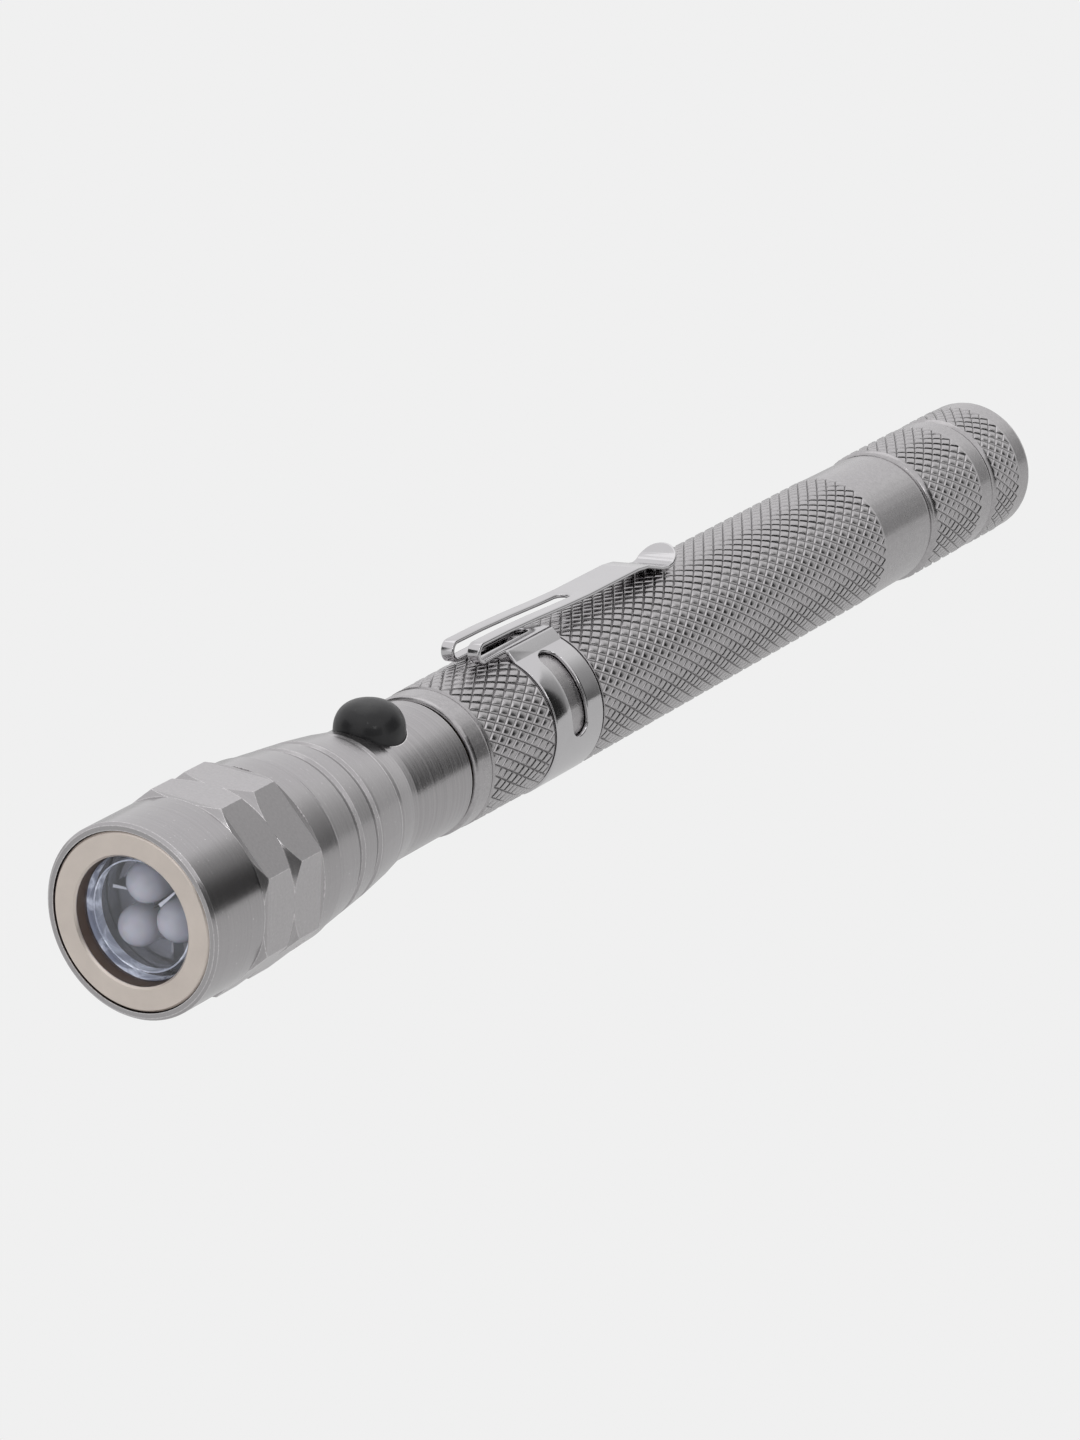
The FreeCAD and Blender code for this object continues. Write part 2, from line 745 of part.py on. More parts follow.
def make_tail():
    """Turn the tail sleeve, the cap that closes it and the magnet in the cap."""
    turned("tail_sleeve", [
        ("tail_bore", "tail_front"),
        ("tail_radius - tail_bevel", "tail_front"),
        ("tail_radius", "tail_front + tail_bevel"),
        ("tail_radius", "tail_seam - cap_bevel"),
        ("tail_radius - cap_bevel", "tail_seam"),
        ("tail_bore", "tail_seam"),
    ])
    turned("tail_cap", [
        ("0", "cap_spigot_front"),
        ("spigot_radius", "cap_spigot_front"),
        ("spigot_radius", "cap_front"),
        ("tail_radius - cap_bevel", "cap_front"),
        ("tail_radius", "cap_front + cap_bevel"),
        ("tail_radius", "tool_length - cap_bevel"),
        ("tail_radius - cap_bevel", "tool_length"),
        ("tail_magnet_radius + part_gap", "tool_length"),
        ("tail_magnet_radius + part_gap", "tail_magnet_front"),
        ("0", "tail_magnet_front"),
    ])
    face = "tool_length - tail_magnet_inset"
    turned("tail_magnet", [
        ("0", "tail_magnet_front"),
        ("tail_magnet_radius", "tail_magnet_front"),
        ("tail_magnet_radius", face + " - magnet_bevel"),
        ("tail_magnet_radius - magnet_bevel", face),
        ("0", face),
    ])


# ---- pocket clip ----

def make_clip_band():
    """Make the sprung band, the raised strip that joins its ends and the slots in both."""
    body = doc.addObject("PartDesign::Body", "clip_band")
    outer = "band_bore + strip_thickness"
    turn_outline(body, "band", rectangle("band_bore", "band_front", outer, "band_rear"))
    above = rectangle("band_front - 1", "neck_radius / 2", "band_rear + 1", "head_radius")
    side_cut(body, "band_opening", above, "2 * band_opening_half")
    below = rectangle("band_front - 1", "-head_radius", "band_rear + 1", "-neck_radius / 2")
    side_cut(body, "band_gap", below, "2 * band_gap_half")
    underside = "strip_top - strip_thickness"
    strip = rectangle("fold_station + fold_gap", underside, "band_rear", "strip_top")
    side_pad(body, "raised_strip", strip, "2 * strip_half_width")
    wall = new_sketch(body, "wall_outline", "XZ_Plane", "-band_front")
    draw_outline(wall, [
        ("strip_half_width - strip_thickness", underside),
        ("band_opening_half", "sqrt(band_bore ^ 2 - band_opening_half ^ 2)"),
        ("band_opening_half + strip_thickness / 2",
         "sqrt((%s) ^ 2 - (band_opening_half + strip_thickness / 2) ^ 2)" % outer),
        ("strip_half_width", "strip_top"),
    ])
    side_wall = push(body, "side_wall", "Pad", wall, "band_rear - band_front", reverse=True)
    mirror_across(body, "both_walls", [side_wall])
    slot = rectangle("fold_station", underside + " - 1", "strip_slot_rear", "strip_top + 1")
    side_cut(body, "strip_slot", slot, "2 * strip_slot_half")
    window = turn_outline(body, "band_slot", rectangle(
        "band_seat_radius", "band_slot_front", outer + " + 1", "band_slot_rear"), "PartDesign::Groove")
    window.Type = "TwoAngles"
    window.setExpression("Angle", bound("band_slot_end - 90"))
    window.setExpression("Angle2", bound("90 - band_slot_start"))
    mirror_across(body, "both_band_slots", [window])
    keep(turn_clip(body), "clip_band")


def make_clip_arm():
    """Make the fold, the sprung arm and its upturned end as one slotted strip."""
    body = doc.addObject("PartDesign::Body", "clip_arm")
    outer = "(fold_height - strip_top + strip_thickness)"
    inner = "(fold_height - strip_top)"
    side_pad(body, "fold", [
        ("fold_station", "fold_height + " + outer, outer, 1),
        ("fold_station - " + outer, "fold_height", outer, 1),
        ("fold_station", "fold_height - " + outer),
        ("fold_station", "fold_height - " + inner, inner, -1),
        ("fold_station - " + inner, "fold_height", inner, -1),
        ("fold_station", "fold_height + " + inner),
    ], "2 * strip_half_width")
    side_pad(body, "arm", [
        ("fold_station", "fold_height + " + outer),
        ("fold_station", "fold_height + " + inner),
        ("arm_bend", "arm_bend_height - strip_thickness"),
        ("arm_dip_front", "arm_dip_height - strip_thickness"),
        ("arm_dip_rear + strip_thickness / 2", "arm_dip_height - strip_thickness"),
        ("arm_end + strip_thickness / 2", "arm_end_height - strip_thickness / 2"),
        ("arm_end", "arm_end_height"),
        ("arm_dip_rear", "arm_dip_height"),
        ("arm_dip_front", "arm_dip_height"),
        ("arm_bend", "arm_bend_height"),
    ], "2 * strip_half_width")
    slot = rectangle("fold_station - 2 * " + outer, "neck_radius", "arm_slot_rear", "octagon_corner + 1")
    side_cut(body, "arm_slot", slot, "2 * strip_slot_half")
    keep(turn_clip(body), "clip_arm")


# ---- checks and output ----

def check_everything():
    """Stop if any object failed or any part is not a valid solid."""
    for item in doc.Objects:
        if "Invalid" in item.State or "Error" in item.State:
            raise RuntimeError("%s failed: %s" % (item.Name, item.State))
    for part in parts:
        shape = part.Shape
        if shape.isNull() or not shape.isValid() or len(shape.Solids) != 1:
            raise RuntimeError("%s is not one valid solid" % part.Label)


def write_parts():
    """Write each sub-part to its own STEP file."""
    os.makedirs("parts", exist_ok=True)
    for part in parts:
        part.Shape.exportStep("parts/%s.step" % part.Label)
        box = part.Shape.BoundBox
        print("%-24s volume %9.2f  y %7.2f to %7.2f" % (part.Label, part.Shape.Volume, box.YMin, box.YMax))


fill_sheet()
make_head_shell()
make_ring_magnet()
make_lens()
make_led_holder()
make_leds()
make_circuit_board()
make_resistor()
make_contact_spring()
make_cells()
make_cell_sleeve()
make_seal_ring()
make_neck_housing()
make_rubber_button()
make_switch()
make_gooseneck()
make_tubes()
make_barrel()
make_tail()
make_clip_band()
make_clip_arm()
doc.recompute()
check_everything()
write_parts()
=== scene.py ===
"""Finishes, knurling, clip and studio for the telescopic magnetic pickup tool with its lamp.

The tool lies along +Y with its pickup magnet's face at the origin, and its push button is up, along +Z.
Shapes are worked out in millimetres and turned to metres as each mesh is made.
"""
import math
import random

import bmesh
import bpy
from bpy.props import (
    FloatProperty,
    FloatVectorProperty,
    IntProperty,
    PointerProperty,
)
from mathutils import Matrix, Vector


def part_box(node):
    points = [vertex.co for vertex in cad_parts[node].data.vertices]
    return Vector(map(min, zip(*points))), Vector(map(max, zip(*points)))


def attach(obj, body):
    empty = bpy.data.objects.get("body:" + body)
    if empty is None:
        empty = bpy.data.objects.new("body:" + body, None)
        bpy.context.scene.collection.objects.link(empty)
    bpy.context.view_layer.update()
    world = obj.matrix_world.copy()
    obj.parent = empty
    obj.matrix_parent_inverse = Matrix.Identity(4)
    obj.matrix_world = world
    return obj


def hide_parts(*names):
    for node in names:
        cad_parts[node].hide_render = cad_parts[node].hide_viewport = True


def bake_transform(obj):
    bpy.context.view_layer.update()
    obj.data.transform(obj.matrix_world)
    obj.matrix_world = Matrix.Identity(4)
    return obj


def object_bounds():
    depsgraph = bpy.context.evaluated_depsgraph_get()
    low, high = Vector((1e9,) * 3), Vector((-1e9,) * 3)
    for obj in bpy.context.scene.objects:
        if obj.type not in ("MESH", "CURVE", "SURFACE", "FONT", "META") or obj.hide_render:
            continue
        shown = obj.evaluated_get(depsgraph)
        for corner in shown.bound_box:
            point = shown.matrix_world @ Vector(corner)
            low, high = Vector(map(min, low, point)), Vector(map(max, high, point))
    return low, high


bl_info = {
    "name": "Magnetic Pickup Tool",
    "version": (1, 0, 0),
    "blender": (4, 5, 0),
    "location": "3D View > Sidebar > Pickup Tool",
    "description": "Makes a telescopic magnetic pickup tool with a lamp, a knurled barrel and a pocket clip",
    "category": "Object",
}

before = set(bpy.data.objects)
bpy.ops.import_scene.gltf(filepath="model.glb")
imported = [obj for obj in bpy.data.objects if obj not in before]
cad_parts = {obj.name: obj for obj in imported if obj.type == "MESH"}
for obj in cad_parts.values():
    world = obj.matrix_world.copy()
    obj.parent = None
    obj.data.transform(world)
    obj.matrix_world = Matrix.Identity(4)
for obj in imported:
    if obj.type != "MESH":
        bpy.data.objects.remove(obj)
CAD_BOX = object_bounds()
MM = 0.001
CLIP_TURN = -8.5
FLATS = (8.5, 17.4)  # first and last stations of the milled flats
NOTCH_STATION = 12.95
NOTCH_FLOOR = 9.69  # a little inside the radius of the notch's bottom
NOTCH_SLOPE = 0.724
GROOVES = (25.0, 28.5)


# ---- settings ----

class PickupSizes(bpy.types.PropertyGroup):
    """Sizes of the worked details, in metres unless a count."""

    knurl_count: IntProperty(
        name="Knurls Around", description="Diamonds in one turn of the knurling", default=38, min=12)
    knurl_pitch: FloatProperty(
        name="Knurl Length", description="Length of one diamond along the tool",
        default=2.13 * MM, unit="LENGTH", precision=5)
    knurl_depth: FloatProperty(
        name="Knurl Depth", description="Depth of the knurling's grooves",
        default=0.175 * MM, unit="LENGTH", precision=5)
    knurl_flat: FloatProperty(
        name="Knurl Flat", description="Share of each diamond that its flat top takes",
        default=0.63, subtype="FACTOR", min=0.2, max=0.9)
    clip_thickness: FloatProperty(
        name="Clip Sheet", description="Thickness of the clip's spring steel",
        default=0.45 * MM, unit="LENGTH", precision=5)
    clip_width: FloatProperty(
        name="Clip Width", description="Width of the clip's arm",
        default=4.7 * MM, unit="LENGTH", precision=5)
    clip_slot: FloatProperty(
        name="Clip Slot", description="Width of the slot in the clip's arm",
        default=1.7 * MM, unit="LENGTH", precision=5)
    edge_round: FloatProperty(
        name="Broken Edge", description="Width of the broken edge on the milled flats",
        default=0.05 * MM, unit="LENGTH", precision=5)
    hose_ribs: IntProperty(
        name="Hose Ribs", description="Ribs along the gooseneck", default=58, min=10)


class PickupFinishes(bpy.types.PropertyGroup):
    """Colours and glosses of the finishes."""

    metal: FloatVectorProperty(
        name="Turned Metal", description="Colour of the turned casing",
        subtype="COLOR", default=(0.475, 0.462, 0.468), min=0, max=1)
    metal_roughness: FloatProperty(
        name="Turned Roughness", description="Roughness of the turned casing",
        default=0.19, subtype="FACTOR", min=0, max=1)
    chrome: FloatVectorProperty(
        name="Chrome", description="Colour of the clip and the tubes",
        subtype="COLOR", default=(0.64, 0.63, 0.64), min=0, max=1)
    magnet: FloatVectorProperty(
        name="Magnet", description="Colour of the plated magnet",
        subtype="COLOR", default=(0.74, 0.665, 0.605), min=0, max=1)
    rubber: FloatVectorProperty(
        name="Rubber", description="Colour of the button",
        subtype="COLOR", default=(0.012, 0.012, 0.013), min=0, max=1)
    lamp: FloatVectorProperty(
        name="Lamp", description="Colour of the lamps' cloudy epoxy",
        subtype="COLOR", default=(0.47, 0.46, 0.50), min=0, max=1)
    backdrop: FloatVectorProperty(
        name="Floor", description="Colour of the pale floor",
        subtype="COLOR", default=(0.871, 0.871, 0.871), min=0, max=1)


# ---- shader helper ----

class Wire:
    """One socket that carries a value, so that shader maths can be written as sums."""

    def __init__(self, finish, socket):
        self.finish = finish
        self.socket = socket

    def maths(self, operation, first, second):
        return self.finish.node("ShaderNodeMath", {"operation": operation}, {0: first, 1: second})

    def __add__(self, other):
        return self.maths("ADD", self, other)

    def __radd__(self, other):
        return self.maths("ADD", other, self)

    def __sub__(self, other):
        return self.maths("SUBTRACT", self, other)

    def __rsub__(self, other):
        return self.maths("SUBTRACT", other, self)

    def __mul__(self, other):
        return self.maths("MULTIPLY", self, other)

    def __rmul__(self, other):
        return self.maths("MULTIPLY", other, self)

    def __gt__(self, other):
        return self.maths("GREATER_THAN", self, other)

    def __lt__(self, other):
        return self.maths("LESS_THAN", self, other)


class Finish:
    """The material of one finish, and the way its nodes are made and linked."""

    def __init__(self, name, **uniform):
        self.material = bpy.data.materials.new(name)
        self.material.use_nodes = True
        self.tree = self.material.node_tree
        self.shader = self.tree.nodes["Principled BSDF"]
        for label, value in uniform.items():
            self.shader.inputs[label.replace("_", " ").title().replace("Ior", "IOR")].default_value = value

    def node(self, kind, settings=None, inputs=None, output=0):
        """Add a node: its settings first, then the values or links of its sockets."""
        made = self.tree.nodes.new(kind)
        for label, value in (settings or {}).items():
            if label == "stops":
                self.set_stops(made.color_ramp, value)
            else:
                setattr(made, label, value)
        for label, value in (inputs or {}).items():
            self.feed(made.inputs[label], value)
        return Wire(self, made.outputs[output])

    def set_stops(self, ramp, stops):
        """Set a colour ramp's stops from pairs of place and grey level or colour."""
        while len(ramp.elements) < len(stops):
            ramp.elements.new(1.0)
        for element, (place, colour) in zip(ramp.elements, stops):
            element.position = place
            element.color = colour if isinstance(colour, tuple) else (colour, colour, colour, 1.0)

    def feed(self, socket, value):
        """Give a socket a link or a plain value."""
        if isinstance(value, Wire):
            self.tree.links.new(value.socket, socket)
        else:
            socket.default_value = value

    def set(self, **inputs):
        """Link or set the shader's own sockets."""
        for label, value in inputs.items():
            self.feed(self.shader.inputs[label.replace("_", " ").title()], value)

    def place(self):
        """The place on the piece, in metres."""
        return self.node("ShaderNodeTexCoord", output="Object")

    def stretched(self, x, y, z):
        """The place on the piece, stretched by three factors."""
        return self.node("ShaderNodeVectorMath", {"operation": "MULTIPLY"}, {0: self.place(), 1: (x, y, z)})

    def noise(self, vector, scale, detail=3.0, roughness=0.55, distortion=0.0):
        """Soft noise from 0 to 1."""
        return self.node("ShaderNodeTexNoise", None, {
            "Vector": vector, "Scale": scale, "Detail": detail,
            "Roughness": roughness, "Distortion": distortion})

    def ramp(self, value, low, high, to_low=0.0, to_high=1.0):
        """Stretch the part of a value between low and high to a new range."""
        return self.node("ShaderNodeMapRange", {"clamp": True}, {
            "Value": value, "From Min": low, "From Max": high, "To Min": to_low, "To Max": to_high})

    def blend(self, factor, first, second):
        """Mix two colours."""
        mixed = self.tree.nodes.new("ShaderNodeMix")
        mixed.data_type = "RGBA"
        for index, value in ((0, factor), (6, first), (7, second)):
            self.feed(mixed.inputs[index], value)
        return Wire(self, mixed.outputs[2])

    def edges(self, width):
        """Find the sharp edges, for a painted highlight along a width in metres: 1 on an edge, 0 away from
        it.
        """
        rounded_off = self.node("ShaderNodeBevel", {"samples": 6}, {"Radius": width})
        facing = self.node("ShaderNodeNewGeometry", output="Normal")
        alike = self.node("ShaderNodeVectorMath", {"operation": "DOT_PRODUCT"},
                          {0: rounded_off, 1: facing}, 1)
        return self.ramp(alike, 0.92, 0.992, 1.0, 0.0)

    def bump(self, height, distance, strength=1.0, normal=None):
        """Raise the surface by a height given as a share of a distance in metres."""
        inputs = {"Height": height, "Distance": distance, "Strength": strength}
        if normal is not None:
            inputs["Normal"] = normal
        return self.node("ShaderNodeBump", None, inputs)


def grey(colour, factor=1.0):
    """A colour with full alpha, scaled in brightness."""
    return tuple(min(1.0, value * factor) for value in colour[:3]) + (1.0,)


# ---- finishes ----

def turned_finish(name, settings, streak=1.0, speck=0.0, rear=None, grooves=()):
    """Bright metal with the fine rings that a lathe leaves, specks where it was milled, and a painted
    highlight along its sharp edges.

    If rear is given, the rings are deep only behind that station, and the rest is polished.
    Grooves are the stations of turned grooves, which get a line of painted shade in their bottom.
    """
    finish = Finish(name, metallic=1.0)
    rings = finish.noise(finish.stretched(22, 2900, 22), 1.0, 5.0, 0.72)
    cloud = finish.noise(finish.place(), 190.0, 3.0)
    grain = finish.noise(finish.place(), 3800.0, 2.0, 0.7)
    deep = 1.0
    if rear is not None:
        station = finish.node("ShaderNodeSeparateXYZ", None, {0: finish.place()}, output=1)
        deep = finish.ramp(station, (rear - 3) * MM, rear * MM, 0.14, 1.0)
    specks = finish.ramp(grain, 0.68, 0.74)
    contrast = 0.05 * streak
    base = finish.blend(finish.ramp(rings, 0.3, 0.75),
                        grey(settings.metal, 1 - contrast), grey(settings.metal, 1 + contrast))
    # Painted highlight: the sharp edges are lightened in the colour, broken up by the grain.
    grain_and_edge_highlight = finish.edges(0.16 * MM) * finish.ramp(grain, 0.35, 0.55, 0.25, 1.0)
    base = finish.blend(specks * speck, base, grey(settings.metal, 1.5))
    satin = 0.0
    if grooves:
        x, z = (finish.node("ShaderNodeSeparateXYZ", None, {0: finish.place()}, output=index)
                for index in (0, 2))
        ridge = station.maths("ABSOLUTE", station - NOTCH_STATION * MM, 0.0) * NOTCH_SLOPE + NOTCH_FLOOR * MM
        notch = (x * x + z * z) > ridge * ridge
        satin = (station > FLATS[0] * MM) * (station < FLATS[1] * MM) * (1.0 - notch)
        base = finish.blend(satin * finish.ramp(grain, 0.3, 0.7, 0.3, 0.8), base,
                            grey(settings.metal, 1.25))
    for groove in grooves:
        start, end = (groove + 0.25) * MM, (groove + 0.6) * MM
        # Painted shade: a dark line in the bottom of each groove.
        painted_groove_shade = (finish.ramp(station, start, start + 0.1 * MM)
                * finish.ramp(station, end, end + 0.15 * MM, 1.0, 0.0))
        base = finish.blend(painted_groove_shade * 0.6, base, grey(settings.metal, 0.3))
    # The colour carries the painted edge highlight over the metal.
    finish.set(Base_Color=finish.blend(grain_and_edge_highlight, base, grey(settings.metal, 2.05)))
    finish.set(Roughness=settings.metal_roughness + (cloud - 0.5) * 0.08
               + deep * ((rings - 0.5) * 0.22 + 0.02) + satin * 0.13)
    finish.set(Normal=finish.bump(rings * deep + grain * (0.03 * speck), 0.009 * MM * streak, 0.8))
    return finish.material


def knurled_finish(name, settings):
    """The same metal, polished on the diamonds, duller and with painted shade in their grooves, and ringed
    where it is plain.
    """
    finish = Finish(name, metallic=1.0)
    depth = finish.node("ShaderNodeAttribute", {"attribute_name": "groove"}, output="Fac")
    plain = finish.ramp(depth, -1.0, -0.5, 1.0, 0.0)
    groove = finish.ramp(depth, 0.5, 1.0)
    rings = finish.noise(finish.stretched(22, 2900, 22), 1.0, 5.0, 0.72)
    grain = finish.noise(finish.place(), 2600.0, 3.0, 0.65)
    cloud = finish.noise(finish.place(), 240.0, 3.0)
    # A random tone from the grain; no painted highlight in this finish.
    grain_and_edge_highlight = finish.blend(finish.ramp(grain, 0.35, 0.7), grey(settings.metal, 0.98), grey(settings.metal, 1.14))
    # Painted shade: the knurl's grooves are darkened in the colour.
    finish.set(Base_Color=finish.blend(groove * 0.9, grain_and_edge_highlight, grey(settings.metal, 0.4)))
    finish.set(Roughness=0.21 + groove * 0.2 + plain * (0.04 + (rings - 0.5) * 0.08)
               + (cloud - 0.5) * 0.08 + (grain - 0.5) * 0.1)
    finish.set(Normal=finish.bump(rings * plain + grain * 0.4 * (1.0 - plain), 0.006 * MM, 0.8))
    return finish.material


def chrome_finish(name, settings, tint=(1.0, 1.0, 1.0), roughness=0.09):
    """Polished plating with hairline scratches and faint smears."""
    finish = Finish(name, metallic=1.0)
    hairlines = finish.noise(finish.stretched(2600, 60, 900), 1.0, 2.0, 0.7)
    smear = finish.noise(finish.place(), 320.0, 3.0, 0.6)
    colour = tuple(value * part for value, part in zip(settings.chrome, tint))
    finish.set(Base_Color=finish.blend(smear, grey(colour, 0.95), grey(colour, 1.03)))
    finish.set(Roughness=roughness + finish.ramp(smear, 0.4, 0.75, 0.0, 0.08)
               + finish.ramp(hairlines, 0.6, 0.8) * 0.06)
    finish.set(Normal=finish.bump(hairlines, 0.0012 * MM, 0.6))
    return finish.material


def magnet_finish(name, settings):
    """Nickel plating over a ground magnet: warm, satin, with pin-prick pits."""
    finish = Finish(name, metallic=0.85)
    cloud = finish.noise(finish.place(), 260.0, 4.0, 0.6)
    grain = finish.noise(finish.place(), 5200.0, 2.0)
    pits = finish.node("ShaderNodeTexVoronoi", {"feature": "F1"}, {"Vector": finish.place(), "Scale": 420.0})
    pit = finish.ramp(pits, 0.03, 0.08, 1.0, 0.0)
    base = finish.blend(finish.ramp(cloud, 0.3, 0.7),
                        grey(settings.magnet, 0.95), grey(settings.magnet, 1.05))
    place = finish.place()
    x, y, z = (finish.node("ShaderNodeSeparateXYZ", None, {0: place}, output=index) for index in range(3))
    # Inside the bore the colour turns dark brown and less metallic.
    bore = ((x * x + z * z) < (6.5 * MM) ** 2) * (y > 0.3 * MM) * (y < 3.3 * MM)
    base = finish.blend(bore, base, (0.13, 0.092, 0.07, 1.0))
    finish.set(Base_Color=finish.blend(pit, base, grey(settings.magnet, 0.45)))
    finish.set(Metallic=0.85 - bore * 0.6)
    finish.set(Roughness=0.36 + (cloud - 0.5) * 0.16 + (grain - 0.5) * 0.1)
    finish.set(Normal=finish.bump(grain * 0.6 - pit * 0.8, 0.006 * MM, 0.7))
    return finish.material


def rubber_finish(name, colour, roughness=0.3):
    """Moulded black rubber with a soft sheen, faint grain and dust."""
    finish = Finish(name, coat_roughness=0.1)
    finish.shader.inputs["Specular IOR Level"].default_value = 0.3
    grain = finish.noise(finish.place(), 2400.0, 3.0, 0.6)
    cloud = finish.noise(finish.place(), 350.0, 3.0)
    dust = finish.ramp(finish.noise(finish.place(), 1500.0, 1.0), 0.74, 0.8)
    base = finish.blend(cloud, grey(colour, 0.8), grey(colour, 1.4))
    finish.set(Base_Color=finish.blend(dust * 0.5, base, (0.16, 0.16, 0.16, 1.0)))
    finish.set(Roughness=roughness + (cloud - 0.5) * 0.14 + dust * 0.3)
    finish.set(Coat_Weight=finish.ramp(cloud, 0.3, 0.7, 0.12, 0.34))
    finish.set(Normal=finish.bump(grain, 0.006 * MM, 0.8))
    return finish.material


def plastic_finish(name, colour, roughness=0.4, mottle=0.1, bump=0.004):
    """Moulded or laminated plastic with a faint mottle."""
    finish = Finish(name)
    cloud = finish.noise(finish.place(), 700.0, 3.0)
    grain = finish.noise(finish.place(), 4200.0, 2.0)
    finish.set(Base_Color=finish.blend(cloud, grey(colour, 1 - mottle), grey(colour, 1 + mottle)))
    finish.set(Roughness=roughness + (cloud - 0.5) * 0.15)
    finish.set(Normal=finish.bump(grain, bump * MM, 0.7))
    return finish.material


def lamp_finish(name, settings):
    """Cloudy clear epoxy of a lamp, with painted light on its domed tip and painted shade further back."""
    finish = Finish(name, coat_roughness=0.03, subsurface_weight=0.35, subsurface_scale=0.0015)
    station = finish.node("ShaderNodeSeparateXYZ", None, {0: finish.place()}, output=1)
    tip = finish.ramp(station, 1.9 * MM, 7.0 * MM, 1.0, 0.0)
    cloud = finish.noise(finish.place(), 600.0, 2.0)
    # Painted light and shade: lighter at the domed tip, darker further back from the front.
    body = finish.blend(tip, grey(settings.lamp, 0.6), grey(settings.lamp, 1.25))
    finish.set(Base_Color=finish.blend(cloud * 0.25, body, grey(settings.lamp, 0.8)))
    finish.set(Roughness=0.16 + cloud * 0.08)
    finish.set(Coat_Weight=finish.ramp(cloud, 0.2, 0.8, 0.9, 1.0))
    finish.set(Normal=finish.bump(cloud, 0.01 * MM, 0.4))
    return finish.material


def lens_finish(name):
    """Clear acrylic: a see-through window, and a skirt with a painted bluish glow, from emission and a
    lighter colour.
    """
    finish = Finish(name, coat_weight=1.0, coat_roughness=0.02, emission_strength=1.0)
    place = finish.place()
    x, y, z = (finish.node("ShaderNodeSeparateXYZ", None, {0: place}, output=index) for index in range(3))
    skirt = ((x * x + z * z) > (5.45 * MM) ** 2) * (y > 1.75 * MM) * (y < 3.1 * MM)
    swirl = finish.noise(place, 330.0, 3.0, 0.6, 1.2)
    # Painted light: the skirt glows bluish through emission and a lighter colour, though it is no lamp.
    painted_glow = finish.ramp(swirl, 0.5, 0.68)
    finish.set(Base_Color=finish.blend(painted_glow, (0.46, 0.49, 0.60, 1.0), (0.92, 0.95, 1.0, 1.0)))
    finish.set(Roughness=0.12 + swirl * 0.1, Normal=finish.bump(swirl, 0.05 * MM, 0.5))
    finish.set(Emission_Color=finish.blend(painted_glow, (0.05, 0.054, 0.068, 1.0), (0.34, 0.36, 0.42, 1.0)))
    gloss = finish.node("ShaderNodeBsdfGlossy", None, {"Color": (0.95, 0.97, 1.0, 1.0), "Roughness": 0.04})
    clear = finish.node("ShaderNodeBsdfTransparent", None, {"Color": (0.96, 0.97, 0.99, 1.0)})
    window = finish.node("ShaderNodeMixShader", None, {0: 0.07, 1: clear, 2: gloss})
    mixed = finish.node("ShaderNodeMixShader", None, {
        0: skirt * 0.8, 1: window, 2: Wire(finish, finish.shader.outputs[0])})
    finish.tree.links.new(mixed.socket, finish.tree.nodes["Material Output"].inputs["Surface"])
    return finish.material


def brass_finish(name):
    """Turned brass with fine rings and a light tarnish."""
    finish = Finish(name, metallic=1.0)
    rings = finish.noise(finish.stretched(30, 4200, 30), 1.0, 3.0)
    cloud = finish.noise(finish.place(), 260.0, 3.0)
    finish.set(Base_Color=finish.blend(cloud, (0.52, 0.38, 0.16, 1.0), (0.68, 0.52, 0.25, 1.0)))
    finish.set(Roughness=0.3 + (cloud - 0.5) * 0.2)
    finish.set(Normal=finish.bump(rings, 0.004 * MM, 0.7))
    return finish.material


def finish_named(name, maker, *values, **named):
    """Make a finish once and reuse it after that."""
    made = bpy.data.materials.get(name)
    return made if made else maker(name, *values, **named)


def dress(piece, material):
    """Put a finish on every slot of a piece."""
    if not piece.material_slots:
        piece.data.materials.append(material)
    for slot in piece.material_slots:
        slot.material = material


def dress_nodes(names, material):
    """Put a finish on parts of the frame."""
    for name in names:
        dress(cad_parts[name], material)


# ---- mesh helpers ----

class Shell:
    """A round shell in the making, in millimetres about the tool's axis."""

    def __init__(self, angles):
        self.angles = angles
        self.points = []
        self.grooves = []
        self.faces = []

    def point(self, angle, radius, station, groove=0.0):
        """Add a point at an angle from +Z towards +X."""
        self.points.append((radius * math.sin(angle), station, radius * math.cos(angle)))
        self.grooves.append(groove)
        return len(self.points) - 1

    def ring(self, radius, station):
        """Add a ring of points, or the one point that it is on the axis."""
        if radius == 0:
            return [self.point(0.0, 0.0, station, -1.0)]
        return [self.point(angle, radius, station, -1.0) for angle in self.angles]

    def join(self, first, second):
        """Close the surface between two rings."""
        count = max(len(first), len(second))
        for index in range(count):
            corners = [first[index % len(first)], first[(index + 1) % len(first)],
                       second[(index + 1) % len(second)], second[index % len(second)]]
            self.faces.append(list(dict.fromkeys(corners)))

    def piece(self, name, sharp=32.0):
        """Make the mesh object, with crisp edges where its faces turn sharply."""
        mesh = bpy.data.meshes.new(name)
        mesh.from_pydata([tuple(value * MM for value in point) for point in self.points], [], self.faces)
        attribute = mesh.attributes.new("groove", "FLOAT", "POINT")
        attribute.data.foreach_set("value", self.grooves)
        return finish_mesh(name, mesh, sharp)


def finish_mesh(name, mesh, sharp):
    """Tidy a mesh's normals and shading and link it to the scene as a piece."""
    work = bmesh.new()
    work.from_mesh(mesh)
    bmesh.ops.recalc_face_normals(work, faces=work.faces)
    work.to_mesh(mesh)
    work.free()
    mesh.shade_smooth()
    mesh.set_sharp_from_angle(angle=math.radians(sharp))
    piece = bpy.data.objects.new(name, mesh)
    bpy.context.collection.objects.link(piece)
    return piece


def even_angles(count):
    """Evenly spaced angles round a full turn."""
    return [2 * math.pi * index / count for index in range(count)]


